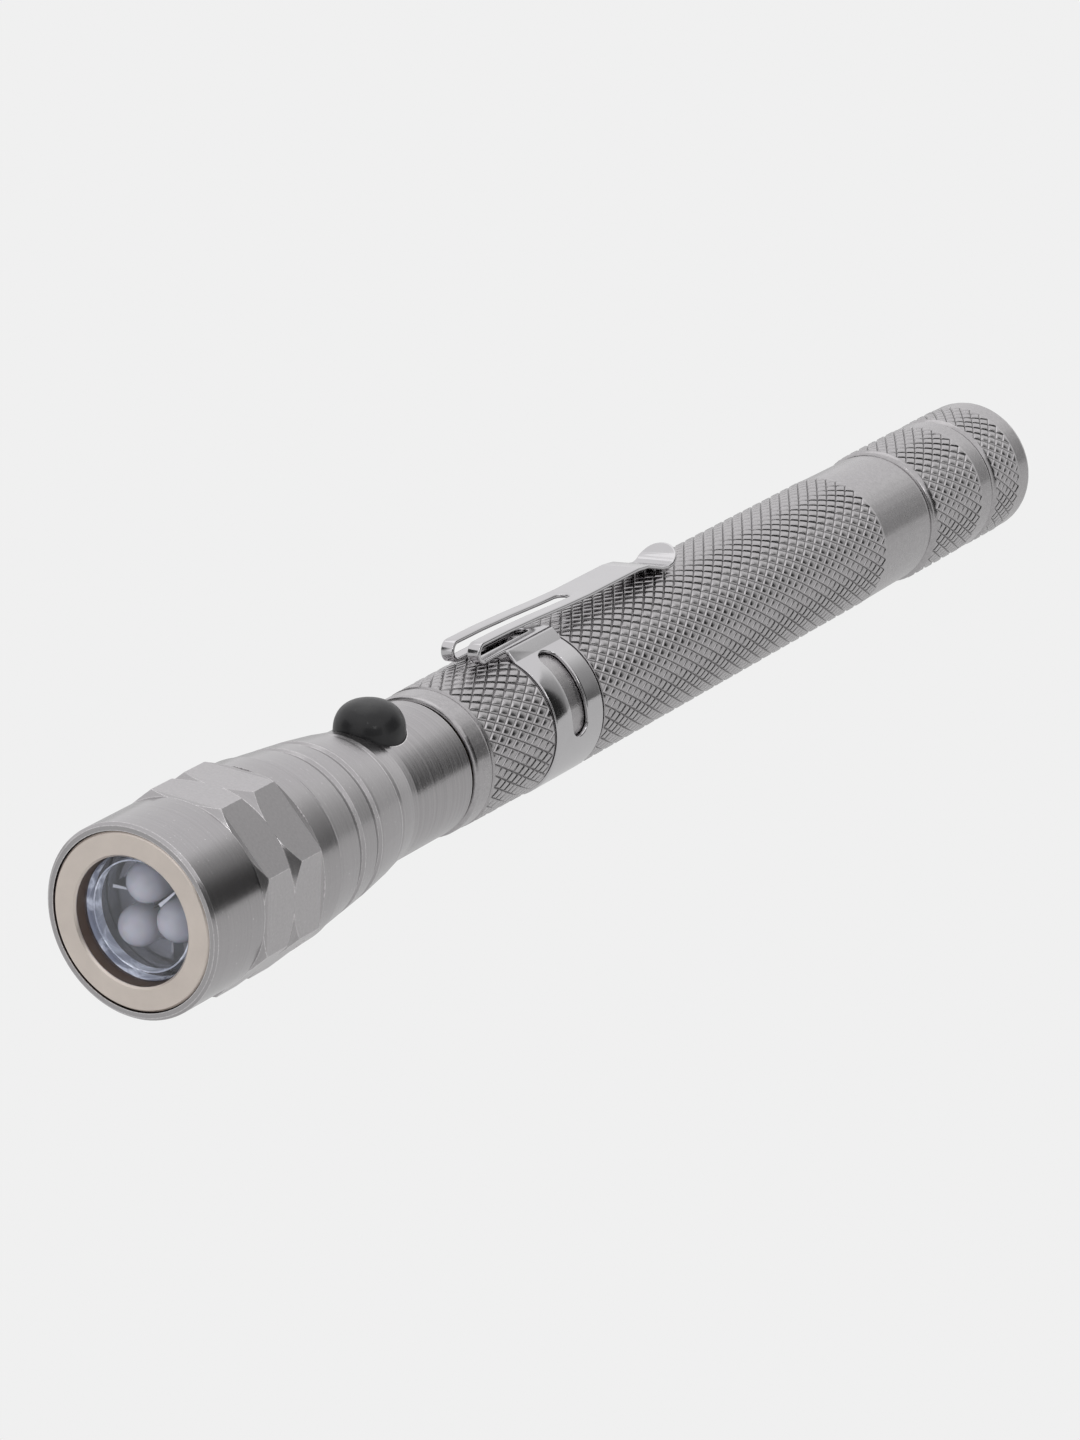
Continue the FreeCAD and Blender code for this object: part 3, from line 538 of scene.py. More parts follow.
def knurl_levels(sizes):
    """The rings of one diamond from its groove in: share of its size, drop in mm, groove value that sets the
    finish's painted shade and dullness.
    """
    depth = sizes.knurl_depth / MM
    return ((1.0, depth, 1.0), (sizes.knurl_flat + 0.13, 0.035, 0.12), (sizes.knurl_flat, 0.0, 0.0))


def knurl_angles(sizes):
    """The angles that every ring of a knurled shell has, groove and crest edges among them."""
    pitch = 2 * math.pi / sizes.knurl_count
    shares = [-level[0] / 2 for level in knurl_levels(sizes)]
    shares += [-share for share in reversed(shares[1:])]
    return [pitch * (index + share) for index in range(sizes.knurl_count) for share in shares]


def add_knurling(shell, sizes, before, start, end, start_radius, end_radius, seed):
    """Add a band of knurling after a ring, and return the ring that it ends in."""
    levels = knurl_levels(sizes)
    count = sizes.knurl_count
    pitch = 2 * math.pi / count
    rows = 2 * round((end - start) / (sizes.knurl_pitch / MM))
    step = (end - start) / rows
    chance = random.Random(seed)

    def radius_at(station):
        return start_radius + (end_radius - start_radius) * (station - start) / (end - start)

    nodes = {}
    for row in range(rows + 1):
        station = start + row * step
        offset = 0.0 if row % 2 else -0.5
        for index in range(count):
            angle = pitch * (index + offset)
            nodes[row, index] = shell.point(angle, radius_at(station) - levels[0][1], station, 1.0)

    def node(row, turn):
        """The groove crossing of a row at a place counted in half pitches."""
        index = (turn - (0 if row % 2 else -1)) // 2
        return nodes[row, index % count]

    def crest(angle, station, across, along, level, lift):
        return shell.point(angle + pitch / 2 * across * level[0], radius_at(station) - level[1] + lift,
                           station + step * along * level[0], level[2])

    edges = {0: {}, rows: {}}
    for row in range(rows + 1):
        station = start + row * step
        for index in range(count):
            turn = 2 * index + row % 2
            angle = pitch * turn / 2
            lift = chance.uniform(-0.012, 0.012)
            left = [node(row, turn - 1)] + [crest(angle, station, -1, 0, level, lift) for level in levels[1:]]
            right = [node(row, turn + 1)] + [crest(angle, station, 1, 0, level, lift) for level in levels[1:]]
            for side in (-1, 1):
                if not 0 <= row + side <= rows:
                    continue
                tip = [node(row + side, turn)]
                tip += [crest(angle, station, 0, side, level, lift) for level in levels[1:]]
                for flank in (left, right):
                    for low, high in zip(range(len(levels)), range(1, len(levels))):
                        shell.faces.append([flank[low], tip[low], tip[high], flank[high]])
                shell.faces.append([left[-1], tip[-1], right[-1]])
            if row in edges:
                edges[row][index] = left + right[:0:-1]
    first = [point for index in range(count) for point in edges[0][index]]
    last = [point for index in range(count) for point in edges[rows][index]]
    shell.join(before, first)
    return last


def add_supports(steps, inset=0.12):
    """Add rings just inside both ends of each long plain stretch, so that it stays flat in the light."""
    filled = [steps[0]]
    for step in steps[1:]:
        before = filled[-1]
        if len(before) == len(step) == 2 and math.dist(before, step) > 6 * inset:
            share = inset / math.dist(before, step)
            filled += [tuple(low + (high - low) * place for low, high in zip(before, step))
                       for place in (share, 1 - share)]
        filled.append(step)
    return filled


def knurled_shell(name, sizes, steps, seed):
    """Make a closed shell from steps: a ring as (radius, station) or a knurled band as four numbers."""
    steps = add_supports(steps)
    shell = Shell(knurl_angles(sizes))
    opening = previous = shell.ring(*steps[0])
    for step in steps[1:]:
        if len(step) == 2:
            ring = shell.ring(*step)
            shell.join(previous, ring)
            previous = ring
        else:
            previous = add_knurling(shell, sizes, previous, *step, seed)
            seed += 1
    if len(opening) > 1 or len(previous) > 1:
        shell.join(previous, opening)
    return shell.piece(name)


def lathe(name, profile, count=96, sharp=32.0):
    """Make a closed shell turned from (radius, station) pairs."""
    shell = Shell(even_angles(count))
    rings = [shell.ring(*corner) for corner in profile]
    for first, second in zip(rings, rings[1:] + rings[:1]):
        if len(first) > 1 or len(second) > 1:
            shell.join(first, second)
    return shell.piece(name, sharp)


def arc(centre, radius, start, end, steps):
    """Points of an arc, its angles in degrees."""
    angles = [math.radians(start + (end - start) * index / steps) for index in range(steps + 1)]
    return [(centre[0] + radius * math.cos(angle), centre[1] + radius * math.sin(angle)) for angle in angles]


class Path:
    """A smooth line through points in a plane, followed by its length."""

    def __init__(self, points):
        self.points = [Vector(point) for point in points]
        self.lengths = [0.0]
        for first, second in zip(self.points, self.points[1:]):
            self.lengths.append(self.lengths[-1] + (second - first).length)

    def at(self, length):
        """The place and the left-hand normal at a length, the ends carried straight on."""
        index = 1
        while index < len(self.lengths) - 1 and self.lengths[index] < length:
            index += 1
        first, second = self.points[index - 1], self.points[index]
        along = (second - first).normalized()
        place = first + along * (length - self.lengths[index - 1])
        share = (length - self.lengths[index - 1]) / (second - first).length
        tangent = self.tangent(index - 1).lerp(self.tangent(index), min(1.0, max(0.0, share))).normalized()
        return place, Vector((-tangent.y, tangent.x))

    def tangent(self, index):
        """The direction of the line at one of its points."""
        before = self.points[max(0, index - 1)]
        after = self.points[min(len(self.points) - 1, index + 1)]
        return (after - before).normalized()


def rounded(points, radii, steps=6):
    """Round the inner corners of a line of points, each with its own radius."""
    line = [Vector(points[0])]
    for before, corner, after, radius in zip(points, points[1:], points[2:], radii):
        corner, inward = Vector(corner), (Vector(before) - Vector(corner)).normalized()
        outward = (Vector(after) - corner).normalized()
        half = inward.angle(outward) / 2
        reach = radius / math.tan(half)
        middle = corner + (inward + outward).normalized() * radius / math.sin(half)
        begin, finish = corner + inward * reach, corner + outward * reach
        for index in range(steps + 1):
            point = begin.lerp(finish, index / steps)
            line.append(middle + (point - middle).normalized() * radius)
    line.append(Vector(points[-1]))
    return line


def sheet_blank(outlines, thickness, edge):
    """Cut a flat blank with broken edges from closed outlines, the first outside and the rest holes."""
    curve = bpy.data.curves.new("blank", "CURVE")
    curve.dimensions = "2D"
    curve.fill_mode = "BOTH"
    curve.bevel_depth = edge
    curve.bevel_resolution = 3
    curve.extrude = thickness / 2 - edge
    curve.offset = -edge
    for outline in outlines:
        spline = curve.splines.new("POLY")
        spline.points.add(len(outline) - 1)
        for point, (across, along) in zip(spline.points, outline):
            point.co = (across, along, 0.0, 1.0)
        spline.use_cyclic_u = True
    holder = bpy.data.objects.new("blank", curve)
    bpy.context.collection.objects.link(holder)
    graph = bpy.context.evaluated_depsgraph_get()
    mesh = bpy.data.meshes.new_from_object(holder.evaluated_get(graph))
    bpy.data.objects.remove(holder)
    work = bmesh.new()
    work.from_mesh(mesh)
    bpy.data.meshes.remove(mesh)
    bmesh.ops.remove_doubles(work, verts=work.verts, dist=1e-4)
    return work


def score(work, axis, places):
    """Cut a blank straight across at places along an axis, so that it can bend there."""
    for place in places:
        point, normal = Vector((0, 0, 0)), Vector((0, 0, 0))
        point[axis], normal[axis] = place, 1.0
        geometry = list(work.verts) + list(work.edges) + list(work.faces)
        bmesh.ops.bisect_plane(work, geom=geometry, plane_co=point, plane_no=normal, dist=1e-5)


def broken_edge(node, width, angle=28.0):
    """Break the sharp edges of a part of the frame with a fine bevel."""
    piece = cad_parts[node]
    bevel = piece.modifiers.new("broken edge", "BEVEL")
    bevel.width = width
    bevel.segments = 2
    bevel.limit_method = "ANGLE"
    bevel.angle_limit = math.radians(angle)
    bevel.harden_normals = False
    return piece


# ---- operators ----

class PieceOperator:
    """What every operator of the tool shares."""

    bl_options = {"REGISTER", "UNDO"}

    def sizes(self, context):
        return context.scene.pickup_sizes

    def finishes(self, context):
        return context.scene.pickup_finishes


class PICKUP_OT_head(PieceOperator, bpy.types.Operator):
    """Finish the lamp head's casing and its ring magnet"""

    bl_idname = "pickup.head"
    bl_label = "Lamp Head"

    def execute(self, context):
        settings = self.finishes(context)
        casing = finish_named("turned metal, milled", turned_finish, settings, 1.2, 1.0, 21.0,
                               GROOVES)
        dress(broken_edge("head_shell", self.sizes(context).edge_round), casing)
        dress_nodes(["ring_magnet"], finish_named("nickel-plated magnet", magnet_finish, settings))
        dress_nodes(["seal_ring"], finish_named("soft black rubber", rubber_finish, settings.rubber))
        return {"FINISHED"}


class PICKUP_OT_lamps(PieceOperator, bpy.types.Operator):
    """Finish the lens, the lamps in cloudy epoxy, the reflector with its web, and the board, resistor and
    spring behind them
    """

    bl_idname = "pickup.lamps"
    bl_label = "Lens and Lamps"

    def web(self):
        """Three curved ridges that stand on the reflector between the lamps."""
        points, faces = [], []
        for arm in range(3):
            angle = math.radians(40 + 120 * arm)
            across = Vector((math.cos(angle), 0, -math.sin(angle)))
            outward = Vector((math.sin(angle), 0, math.cos(angle)))
            for step in range(13):
                reach = 0.35 + 4.9 * step / 12
                width = 0.24 + 0.25 * abs(step / 6 - 1) ** 2
                top = 4.3 + 0.9 * math.sin(math.pi * step / 12)
                for side, station in ((-width, 5.95), (-width * 0.4, top), (width * 0.4, top), (width, 5.95)):
                    points.append((outward * reach + across * side + Vector((0, station, 0))) * MM)
            first = arm * 52
            for step in range(12):
                start = first + step * 4
                faces += [(start + i, start + (i + 1) % 4, start + 4 + (i + 1) % 4, start + 4 + i)
                          for i in range(4)]
            faces += [tuple(first + i for i in range(4)), tuple(first + 51 - i for i in range(4))]
        mesh = bpy.data.meshes.new("reflector_web")
        mesh.from_pydata(points, [], faces)
        return finish_mesh("reflector_web", mesh, 40.0)

    def execute(self, context):
        settings = self.finishes(context)
        dress_nodes(["lens"], finish_named("clear acrylic", lens_finish))
        dress_nodes(["led_1", "led_2", "led_3"], finish_named("cloudy epoxy", lamp_finish, settings))
        holder = finish_named("silvered reflector plastic", chrome_finish, settings, (0.46, 0.455, 0.48), 0.2)
        dress_nodes(["led_holder"], holder)
        web = self.web()
        dress(web, finish_named("bright reflector plastic", chrome_finish, settings, (1.1, 1.1, 1.15), 0.1))
        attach(web, "lamp_head")
        dress_nodes(["circuit_board"],
                    finish_named("green laminate", plastic_finish, (0.02, 0.09, 0.045), 0.35, 0.25))
        dress_nodes(["resistor"], finish_named("black chip", plastic_finish, (0.02, 0.02, 0.02), 0.5))
        dress_nodes(["contact_spring"],
                    finish_named("plated spring", chrome_finish, settings, (1, 0.97, 0.9), 0.2))
        return {"FINISHED"}


class PICKUP_OT_neck(PieceOperator, bpy.types.Operator):
    """Finish the neck's casing and what it holds"""

    bl_idname = "pickup.neck"
    bl_label = "Neck"

    def execute(self, context):
        settings = self.finishes(context)
        dress_nodes(["neck_housing"], finish_named("turned metal, brushed", turned_finish, settings, 2.2))
        cells = ["cell_1", "cell_2", "cell_3", "cell_4"]
        dress_nodes(cells, finish_named("cell steel", chrome_finish, settings, (0.97, 0.96, 0.93), 0.25))
        dress_nodes(["cell_sleeve", "switch_plunger"],
                    finish_named("black sleeve plastic", plastic_finish, (0.025, 0.025, 0.027), 0.45))
        dress_nodes(["switch_body"], finish_named("black chip", plastic_finish, (0.02, 0.02, 0.02), 0.5))
        dress_nodes(["switch_board"],
                    finish_named("green laminate", plastic_finish, (0.02, 0.09, 0.045), 0.35, 0.25))
        dress_nodes(["rear_contact"], finish_named("turned brass", brass_finish))
        return {"FINISHED"}


class PICKUP_OT_button(PieceOperator, bpy.types.Operator):
    """Mould the rubber push button with its pillowed dome"""

    bl_idname = "pickup.button"
    bl_label = "Push Button"

    def execute(self, context):
        settings = self.finishes(context)
        shoulder, top, radius = 6.8, 9.85, 3.65
        profile = [(0, 7.7), (3.25, 7.7), (3.25, 3.9), (4.1, 3.9), (4.1, 4.6), (radius, 4.6)]
        for step in range(19):
            turn = math.radians(5 * step)
            profile.append((radius * max(0.0, math.cos(turn)) ** 0.72,
                            shoulder + (top - shoulder) * math.sin(turn) ** 0.9))
        profile[-1] = (0, top)
        button = lathe("domed_rubber_button", profile, 64, 50.0)
        button.data.transform(Matrix.Translation((0, 40 * MM, 0)) @ Matrix.Rotation(math.radians(90), 4, "X"))
        dress(button, finish_named("glossy black rubber", rubber_finish, settings.rubber, 0.42))
        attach(button, "push_button")
        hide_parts("rubber_button")
        return {"FINISHED"}


class PICKUP_OT_barrel(PieceOperator, bpy.types.Operator):
    """Turn and knurl the barrel"""

    bl_idname = "pickup.barrel"
    bl_label = "Barrel"

    def execute(self, context):
        sizes, settings = self.sizes(context), self.finishes(context)
        steps = [
            (6.95, 48.6), (7.22, 48.6), (7.42, 48.72), (7.52, 48.95), (7.52, 51.3), (7.47, 51.5),
            (7.38, 51.62),
            (7.38, 51.75), (7.58, 51.88),
            (51.95, 63.05, 7.6, 7.7),
            (7.66, 63.12), (7.62, 63.2), (7.3, 63.25), (7.3, 72.75), (7.72, 72.8), (7.76, 72.88),
            (72.95, 134.3, 7.8, 7.72),
            (7.68, 134.42), (7.66, 134.6), (7.6, 139.0), (7.53, 145.2), (7.47, 145.55), (7.3, 145.74),
            (7.1, 145.8), (6.6, 145.8), (6.6, 156.0), (5.5, 156.0), (5.5, 147.0), (0, 147.0), (0, 144.5),
            (6.3, 144.5), (6.3, 54.0), (6.95, 54.0),
        ]
        barrel = knurled_shell("knurled_barrel", sizes, steps, 11)
        dress(barrel, finish_named("knurled metal", knurled_finish, settings))
        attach(barrel, "barrel")
        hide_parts("barrel_tube")
        dress_nodes(["front_guide"], finish_named("turned brass", brass_finish))
        dress_nodes(["rear_bumper"], finish_named("soft black rubber", rubber_finish, settings.rubber))
        return {"FINISHED"}


class PICKUP_OT_tail(PieceOperator, bpy.types.Operator):
    """Turn and knurl the tail sleeve and the cap that closes it"""

    bl_idname = "pickup.tail"
    bl_label = "Tail"

    def execute(self, context):
        sizes, settings = self.sizes(context), self.finishes(context)
        metal = finish_named("knurled metal", knurled_finish, settings)
        sleeve = knurled_shell("knurled_tail_sleeve", sizes, [
            (6.65, 145.9), (7.25, 145.9), (7.5, 145.98), (7.74, 146.25), (7.83, 146.6),
            (146.7, 157.5, 7.87, 7.87),
            (7.83, 157.62), (7.8, 157.8), (7.8, 160.15), (7.75, 160.35), (7.6, 160.52), (7.4, 160.6),
            (6.65, 160.6),
        ], 31)
        cap = knurled_shell("knurled_tail_cap", sizes, [
            (0, 156.6), (6.6, 156.6), (6.6, 160.75), (7.3, 160.75), (7.55, 160.83), (7.76, 161.1),
            (7.83, 161.3),
            (161.4, 167.0, 7.87, 7.87),
            (7.83, 167.12), (7.8, 167.3), (7.8, 169.5), (7.74, 169.75), (7.6, 169.93), (7.4, 170.0),
            (6.3, 170.0), (6.15, 169.92), (6.1, 169.8), (6.1, 167.0), (0, 167.0),
        ], 41)
        for piece, node in ((sleeve, "tail_sleeve"), (cap, "tail_cap")):
            dress(piece, metal)
            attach(piece, "barrel")
            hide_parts(node)
        dress_nodes(["tail_magnet"], finish_named("nickel-plated magnet", magnet_finish, settings))
        return {"FINISHED"}


class PICKUP_OT_clip(PieceOperator, bpy.types.Operator):
    """Cut the pocket clip from one sheet and bend it: band, raised strip, fold and arm"""

    bl_idname = "pickup.clip"
    bl_label = "Pocket Clip"

    FOLD = (59.7, 9.05)
    STRIP_TOP = 8.32
    BAND = (63.5, 72.5)
    BAND_RADIUS = 7.6

    def outlines(self, sizes, wing, arm_length):
        """The flat blank: a strip with a wing on each side, and the slots in both."""
        half = sizes.clip_width / MM / 2
        slot = sizes.clip_slot / MM / 2
        fold = self.FOLD[0]
        rear, front = fold - self.BAND[1], fold - self.BAND[0]
        right = [(half, rear), (wing - 0.5, rear)] + arc((wing - 0.5, rear + 0.5), 0.5, -90, 0, 4)[1:]
        right += arc((wing - 0.5, front - 0.5), 0.5, 0, 90, 4) + [(half + 0.3, front)]
        right += arc((half + 0.3, front + 0.3), 0.3, 270, 180, 3)[1:]
        tip = arc((0, arm_length - half), half, 0, 90, 12)
        outside = right + tip
        outline = outside + [(-across, along) for across, along in reversed(outside[:-1])]
        arm_slot_end = math.pi * self.fold_radius(sizes) + 79.2 - fold - slot
        strip_slot_end = fold - 70.8 + slot
        long_slot = arc((0, arm_slot_end), slot, 0, 180, 10) + arc((0, strip_slot_end), slot, 180, 360, 10)
        holes = [long_slot]
        band_slot = (69.5 - 66.6) / 2
        along = fold - (69.5 + 66.6) / 2
        for side in (-1, 1):
            near, far = (self.band_length(angle) for angle in (27.5, 103.5))
            hole = arc((far - band_slot, along), band_slot, -90, 90, 10)
            hole += arc((near + band_slot, along), band_slot, 90, 270, 10)
            holes.append([(side * across, place) for across, place in hole])
        return [outline] + holes

    def fold_radius(self, sizes):
        """The fold's radius at the middle of the sheet."""
        return self.FOLD[1] - self.STRIP_TOP + sizes.clip_thickness / MM / 2

    def arm_path(self, sizes):
        """The side view of the strip from the band's end of the fold to the arm's tip."""
        half = sizes.clip_thickness / MM / 2
        y, z = self.FOLD
        radius = self.fold_radius(sizes)
        fold = arc((y, z), radius, -90, -270, 24)
        tops = [(64.5, 10.2), (70.0, 10.02), (75.5, 9.76), (80.5, 9.6), (90.3, 9.6), (92.4, 9.36),
                (95.2, 8.42),
                (96.4, 8.2), (97.4, 8.34), (98.5, 9.05), (99.45, 9.9)]
        arm = rounded([fold[-1]] + [(a, b - half) for a, b in tops],
                      [20, 20, 20, 12, 3.0, 2.0, 1.2, 1.0, 1.2, 4])
        return Path([Vector(point) for point in fold] + arm[1:])

    def band_path(self, sizes):
        """The front view of the strip and one wing: flat, down the side wall, then round the barrel."""
        middle = self.STRIP_TOP - sizes.clip_thickness / MM / 2
        start = math.radians(25.5)
        rim = (self.BAND_RADIUS * math.sin(start), self.BAND_RADIUS * math.cos(start))
        wall = rounded([(0, middle), (2.3, middle), rim, (rim[0] + 1.0, rim[1] - 0.48)], [0.35, 0.3], 4)
        round_part = arc((0, 0), self.BAND_RADIUS, 90 - 30, 90 - 160, 66)
        return Path(wall[:-1] + [Vector(point) for point in round_part])

    def band_length(self, angle):
        """How far along the blank a place on the band is, from its angle round the barrel."""
        rest = self.lengths[-1] - math.radians(160 - angle) * self.BAND_RADIUS
        return rest

    def bend(self, sizes, work):
        """Bend the blank: the wings round the barrel, and the strip over the fold into the arm."""
        arm, band = self.arm_path(sizes), self.band_path(sizes)
        for vertex in work.verts:
            across, along, lift = vertex.co
            if along > 0:
                place, normal = arm.at(along)
                side = -normal
                vertex.co = (across, place.x + side.x * -lift, place.y + side.y * -lift)
                continue
            place, normal = band.at(abs(across))
            sign = 1 if across >= 0 else -1
            vertex.co = (sign * (place.x + normal.x * lift), self.FOLD[0] - along, place.y + normal.y * lift)

    def execute(self, context):
        sizes, settings = self.sizes(context), self.finishes(context)
        band, arm = self.band_path(sizes), self.arm_path(sizes)
        self.lengths = band.lengths
        outlines = self.outlines(sizes, band.lengths[-1], arm.lengths[-1])
        work = sheet_blank(outlines, sizes.clip_thickness / MM, 0.17)
        half = sizes.clip_width / MM / 2
        crossings = [length for length in band.lengths if length > half - 0.4]
        score(work, 0, crossings + [-length for length in crossings])
        score(work, 1, [0.0] + [length for length in arm.lengths[1:-1]])
        self.bend(sizes, work)
        turn = Matrix.Rotation(math.radians(CLIP_TURN), 4, "Y")
        bmesh.ops.transform(work, matrix=Matrix.Scale(MM, 4) @ turn, verts=work.verts)
        mesh = bpy.data.meshes.new("pocket_clip_sheet")
        work.to_mesh(mesh)
        work.free()
        clip = finish_mesh("pocket_clip_sheet", mesh, 35.0)
        dress(clip, finish_named("polished clip chrome", chrome_finish, settings))
        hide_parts("clip_band", "clip_arm")
        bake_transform(clip)
        return {"FINISHED"}


class PICKUP_OT_tubes(PieceOperator, bpy.types.Operator):
    """Finish the nested tubes and their bushes"""

    bl_idname = "pickup.tubes"
    bl_label = "Telescopic Tubes"

    def execute(self, context):
        settings = self.finishes(context)
        tubes = finish_named("polished tube chrome", chrome_finish, settings, (1, 1, 1), 0.07)
        brass = finish_named("turned brass", brass_finish)
        dress_nodes(["tube_%d" % index for index in range(1, 5)], tubes)
        dress_nodes(["tube_%d_bush" % index for index in range(1, 5)], brass)
        return {"FINISHED"}


class PICKUP_OT_gooseneck(PieceOperator, bpy.types.Operator):
    """Wind the ribbed gooseneck hose and finish its fittings"""

    bl_idname = "pickup.gooseneck"
    bl_label = "Gooseneck"

    def execute(self, context):
        sizes, settings = self.sizes(context), self.finishes(context)
        low, high = (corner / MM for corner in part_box("gooseneck"))
        pitch = (high.y - low.y) / sizes.hose_ribs
        profile = [(1.6, low.y)]
        for rib in range(sizes.hose_ribs):
            start = low.y + rib * pitch
            for share, radius in (
                    (0.06, 2.52), (0.2, 2.72), (0.38, 2.83), (0.62, 2.83), (0.8, 2.72), (0.94, 2.52)):
                profile.append((radius, start + share * pitch))
        profile += [(1.6, high.y)]
        hose = lathe("ribbed_gooseneck", profile, 48, 50.0)
        dress(hose, finish_named("gooseneck steel", chrome_finish, settings, (0.8, 0.8, 0.8), 0.24))
        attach(hose, "lamp_neck")
        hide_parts("gooseneck")
        collars = finish_named("collar steel", chrome_finish, settings, (0.85, 0.85, 0.85), 0.2)
        dress_nodes(["gooseneck_front_collar", "gooseneck_rear_collar"], collars)
        dress_nodes(["gooseneck_ferrule", "gooseneck_slider"], finish_named("turned brass", brass_finish))
        return {"FINISHED"}


class PICKUP_OT_stage(PieceOperator, bpy.types.Operator):
    """Set the pale floor, the soft studio light and the camera"""

    bl_idname = "pickup.stage"
    bl_label = "Stage"

    def sheet(self, name, rows, across, colours):
        """A glowing stage sheet from rows of points, its colours running across it by azimuth."""
        columns = len(rows[0])
        points = [point for row in rows for point in row]
        faces = [(start + index, start + index + 1, start + columns + index + 1, start + columns + index)
                 for start in range(0, columns * (len(rows) - 1), columns) for index in range(columns - 1)]
        mesh = bpy.data.meshes.new(name)
        mesh.from_pydata(points, [], faces)
        piece = bpy.data.objects.new(name, mesh)
        bpy.context.collection.objects.link(piece)
        finish = Finish(name, roughness=1.0, base_color=(0.0, 0.0, 0.0, 1.0), emission_strength=1.0)
        finish.shader.inputs["Specular IOR Level"].default_value = 0.0
        x, y = (finish.node("ShaderNodeSeparateXYZ", None, {0: finish.place()}, output=index)
                for index in (0, 1))
        azimuth = finish.ramp(x.maths("ARCTAN2", x, y), *(math.radians(angle) for angle in across))
        finish.set(Emission_Color=finish.node("ShaderNodeValToRGB", {"stops": colours}, {0: azimuth}))
        dress(piece, finish.material)
        return piece

    def floor(self, settings):
        """A plain pale floor that the tool lies on."""
        height = CAD_BOX[0].z
        rows = [[(x, y, height) for x in (-6, 6)] for y in (-6, 6)]
        shade = grey(settings.backdrop)
        self.sheet("pale_floor", rows, (0, 90), ((0.0, shade), (1.0, shade)))

    def card(self, name, span, colours, top):
        """A curved card far behind the light, which only the metal's reflections show."""
        start, end = span
        azimuths = [math.radians(start + (end - start) * index / 24) for index in range(25)]
        rows = [[(3 * math.sin(angle), 3 * math.cos(angle), height) for angle in azimuths]
                for height in (-0.0095, top)]
        self.hide(self.sheet(name, rows, span, colours))

    def hide(self, card):
        """Leave a card out of everything but reflections."""
        card.visible_camera = False
        card.visible_diffuse = False
        card.visible_shadow = False

    def cards(self):
        """Dark cards round the tool and a grey one under it, to shade the metal."""
        self.card("side_card", (0, 100), (
            (0.0, 0.88), (0.12, 0.80), (0.19, 0.62), (0.26, 0.42), (0.345, 0.28), (0.36, 0.05), (0.40, 0.02),
            (0.8, 0.03), (1.0, 0.88)), 2.4)
        self.card("front_card", (100, 168), ((0.0, 0.88), (0.12, 0.10), (0.85, 0.06), (1.0, 0.5)), 1.7)
        self.card("back_card", (-150, -105), ((0.0, 0.6), (0.2, 0.05), (0.8, 0.05), (1.0, 0.8)), 1.5)
        height = CAD_BOX[0].z + 0.0001
        rows = [[(x, y, height) for x in (-0.6, 0.99)] for y in (-0.8, 0.99)]
        self.hide(self.sheet("grey_card", rows, (0, 90), ((0.0, 0.6), (1.0, 0.6))))

    def lamp(self, name, place, size, watts):
        """A soft box that looks at the tool."""
        data = bpy.data.lights.new(name, "AREA")
        data.shape = "SQUARE"
        data.size = size
        data.energy = watts
        lamp = bpy.data.objects.new(name, data)
        lamp.location = place
        lamp.rotation_mode = "QUATERNION"
        lamp.rotation_quaternion = (Vector(place) - Vector((0, 0.08, 0))).to_track_quat("Z", "Y")
        bpy.context.collection.objects.link(lamp)

    def camera(self):
        """A long lens, above the tool and a little to its right."""
        data = bpy.data.cameras.new("camera")
        data.lens = 133.34
        data.sensor_width = 36.0
        data.clip_start, data.clip_end = 0.01, 30.0
        camera = bpy.data.objects.new("camera", data)
        right = Vector((0.84945, 0.52578, 0.04452))
        up = Vector((-0.22754, 0.28887, 0.92993))
        back = right.cross(up)
        camera.matrix_world = Matrix.Translation((0.26495, -0.37243, 0.20083)) @ Matrix(
            (right, up, back)).transposed().to_4x4()
        bpy.context.collection.objects.link(camera)
        bpy.context.scene.camera = camera

    def execute(self, context):
        settings = self.finishes(context)
        self.floor(settings)
        self.cards()
        self.lamp("top soft box", (-0.5, 0.5, 1.2), 0.9, 0.9)
        self.lamp("key soft box", (0.69, -0.49, 0.54), 0.16, 0.3)
        self.lamp("sparkle light", (0.28, -0.62, 0.98), 0.05, 0.1)
        world = bpy.data.worlds.new("light tent")
        world.use_nodes = True
        world.node_tree.nodes["Background"].inputs["Color"].default_value = (0.96, 0.955, 0.965, 1.0)
        world.node_tree.nodes["Background"].inputs["Strength"].default_value = 0.9
        context.scene.world = world
        context.scene.view_settings.view_transform = "Standard"
        self.camera()
        return {"FINISHED"}


class PICKUP_PT_sidebar(bpy.types.Panel):
    """The pickup tool's pieces and settings"""

    bl_label = "Pickup Tool"
    bl_idname = "PICKUP_PT_sidebar"
    bl_space_type = "VIEW_3D"
    bl_region_type = "UI"
    bl_category = "Pickup Tool"

    def draw(self, context):
        column = self.layout.column(align=True)
        for operator in OPERATORS:
            column.operator(operator.bl_idname)
        for group in (context.scene.pickup_sizes, context.scene.pickup_finishes):
            box = self.layout.box()
            for name in group.bl_rna.properties.keys():
                if name not in ("rna_type", "name"):
                    box.prop(group, name)


OPERATORS = (
    PICKUP_OT_head,
    PICKUP_OT_lamps,
    PICKUP_OT_neck,
    PICKUP_OT_button,
    PICKUP_OT_barrel,
    PICKUP_OT_tail,
    PICKUP_OT_clip,
    PICKUP_OT_tubes,
    PICKUP_OT_gooseneck,
    PICKUP_OT_stage,
)
CLASSES = (PickupSizes, PickupFinishes) + OPERATORS + (PICKUP_PT_sidebar,)


def register():
    for item in CLASSES:
        bpy.utils.register_class(item)
    bpy.types.Scene.pickup_sizes = PointerProperty(type=PickupSizes)
    bpy.types.Scene.pickup_finishes = PointerProperty(type=PickupFinishes)


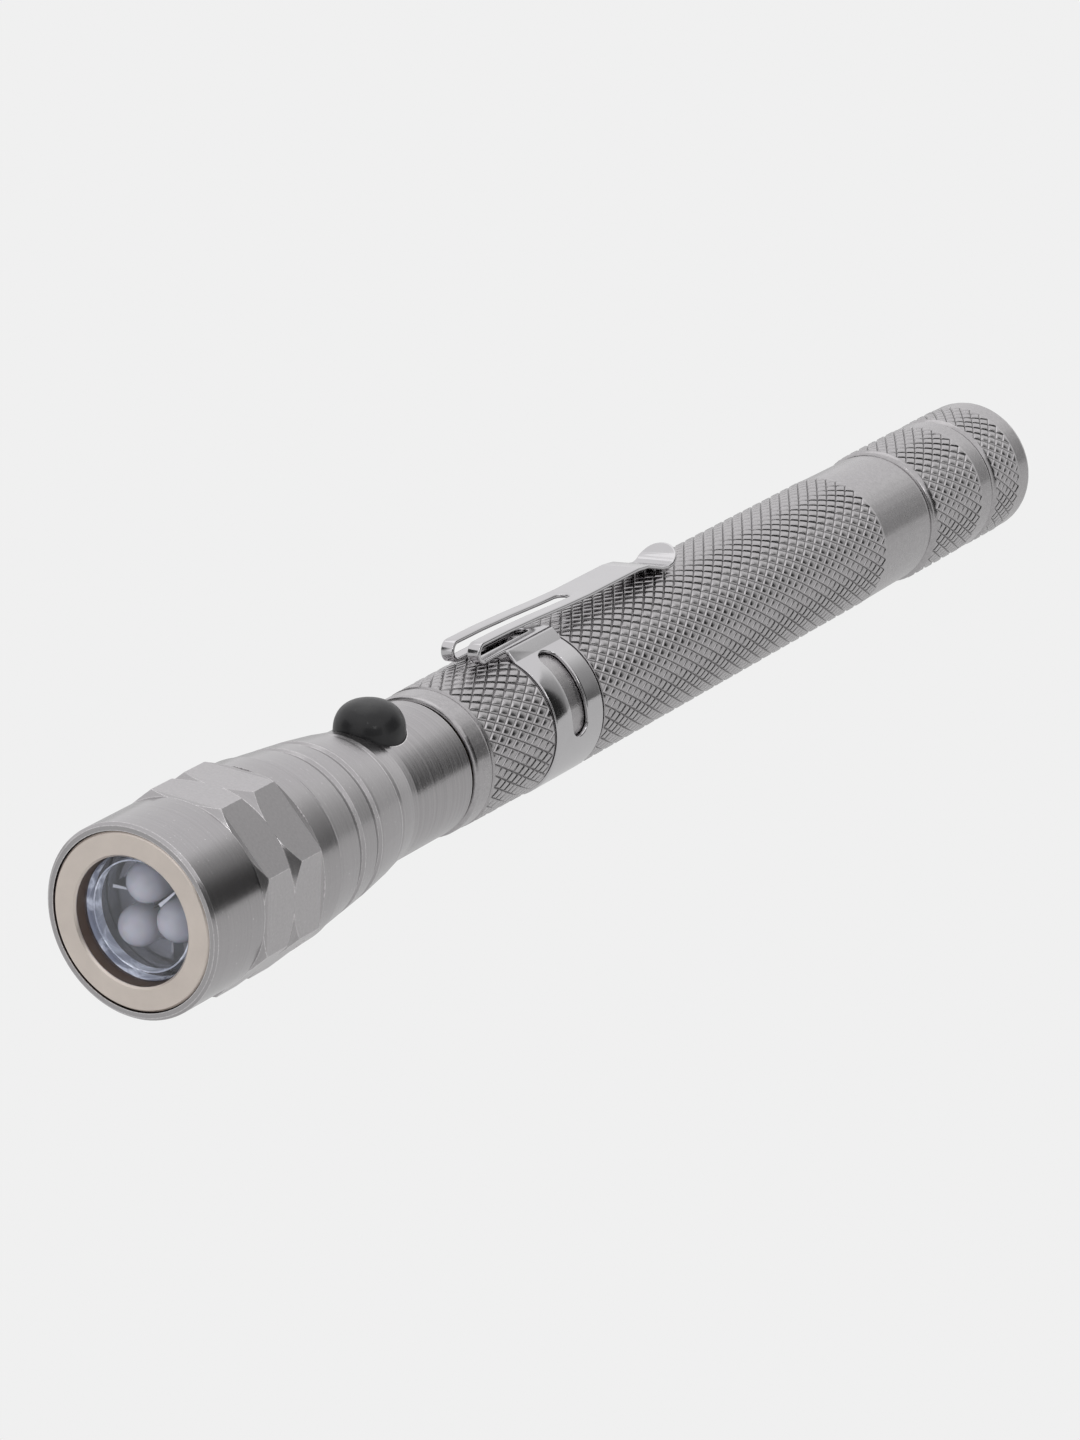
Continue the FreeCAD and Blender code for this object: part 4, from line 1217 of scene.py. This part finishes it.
def unregister():
    del bpy.types.Scene.pickup_finishes
    del bpy.types.Scene.pickup_sizes
    for item in reversed(CLASSES):
        bpy.utils.unregister_class(item)


def main():
    """Make every piece."""
    register()
    for operator in OPERATORS:
        group, name = operator.bl_idname.split(".")
        getattr(getattr(bpy.ops, group), name)()


if __name__ == "__main__":
    main()
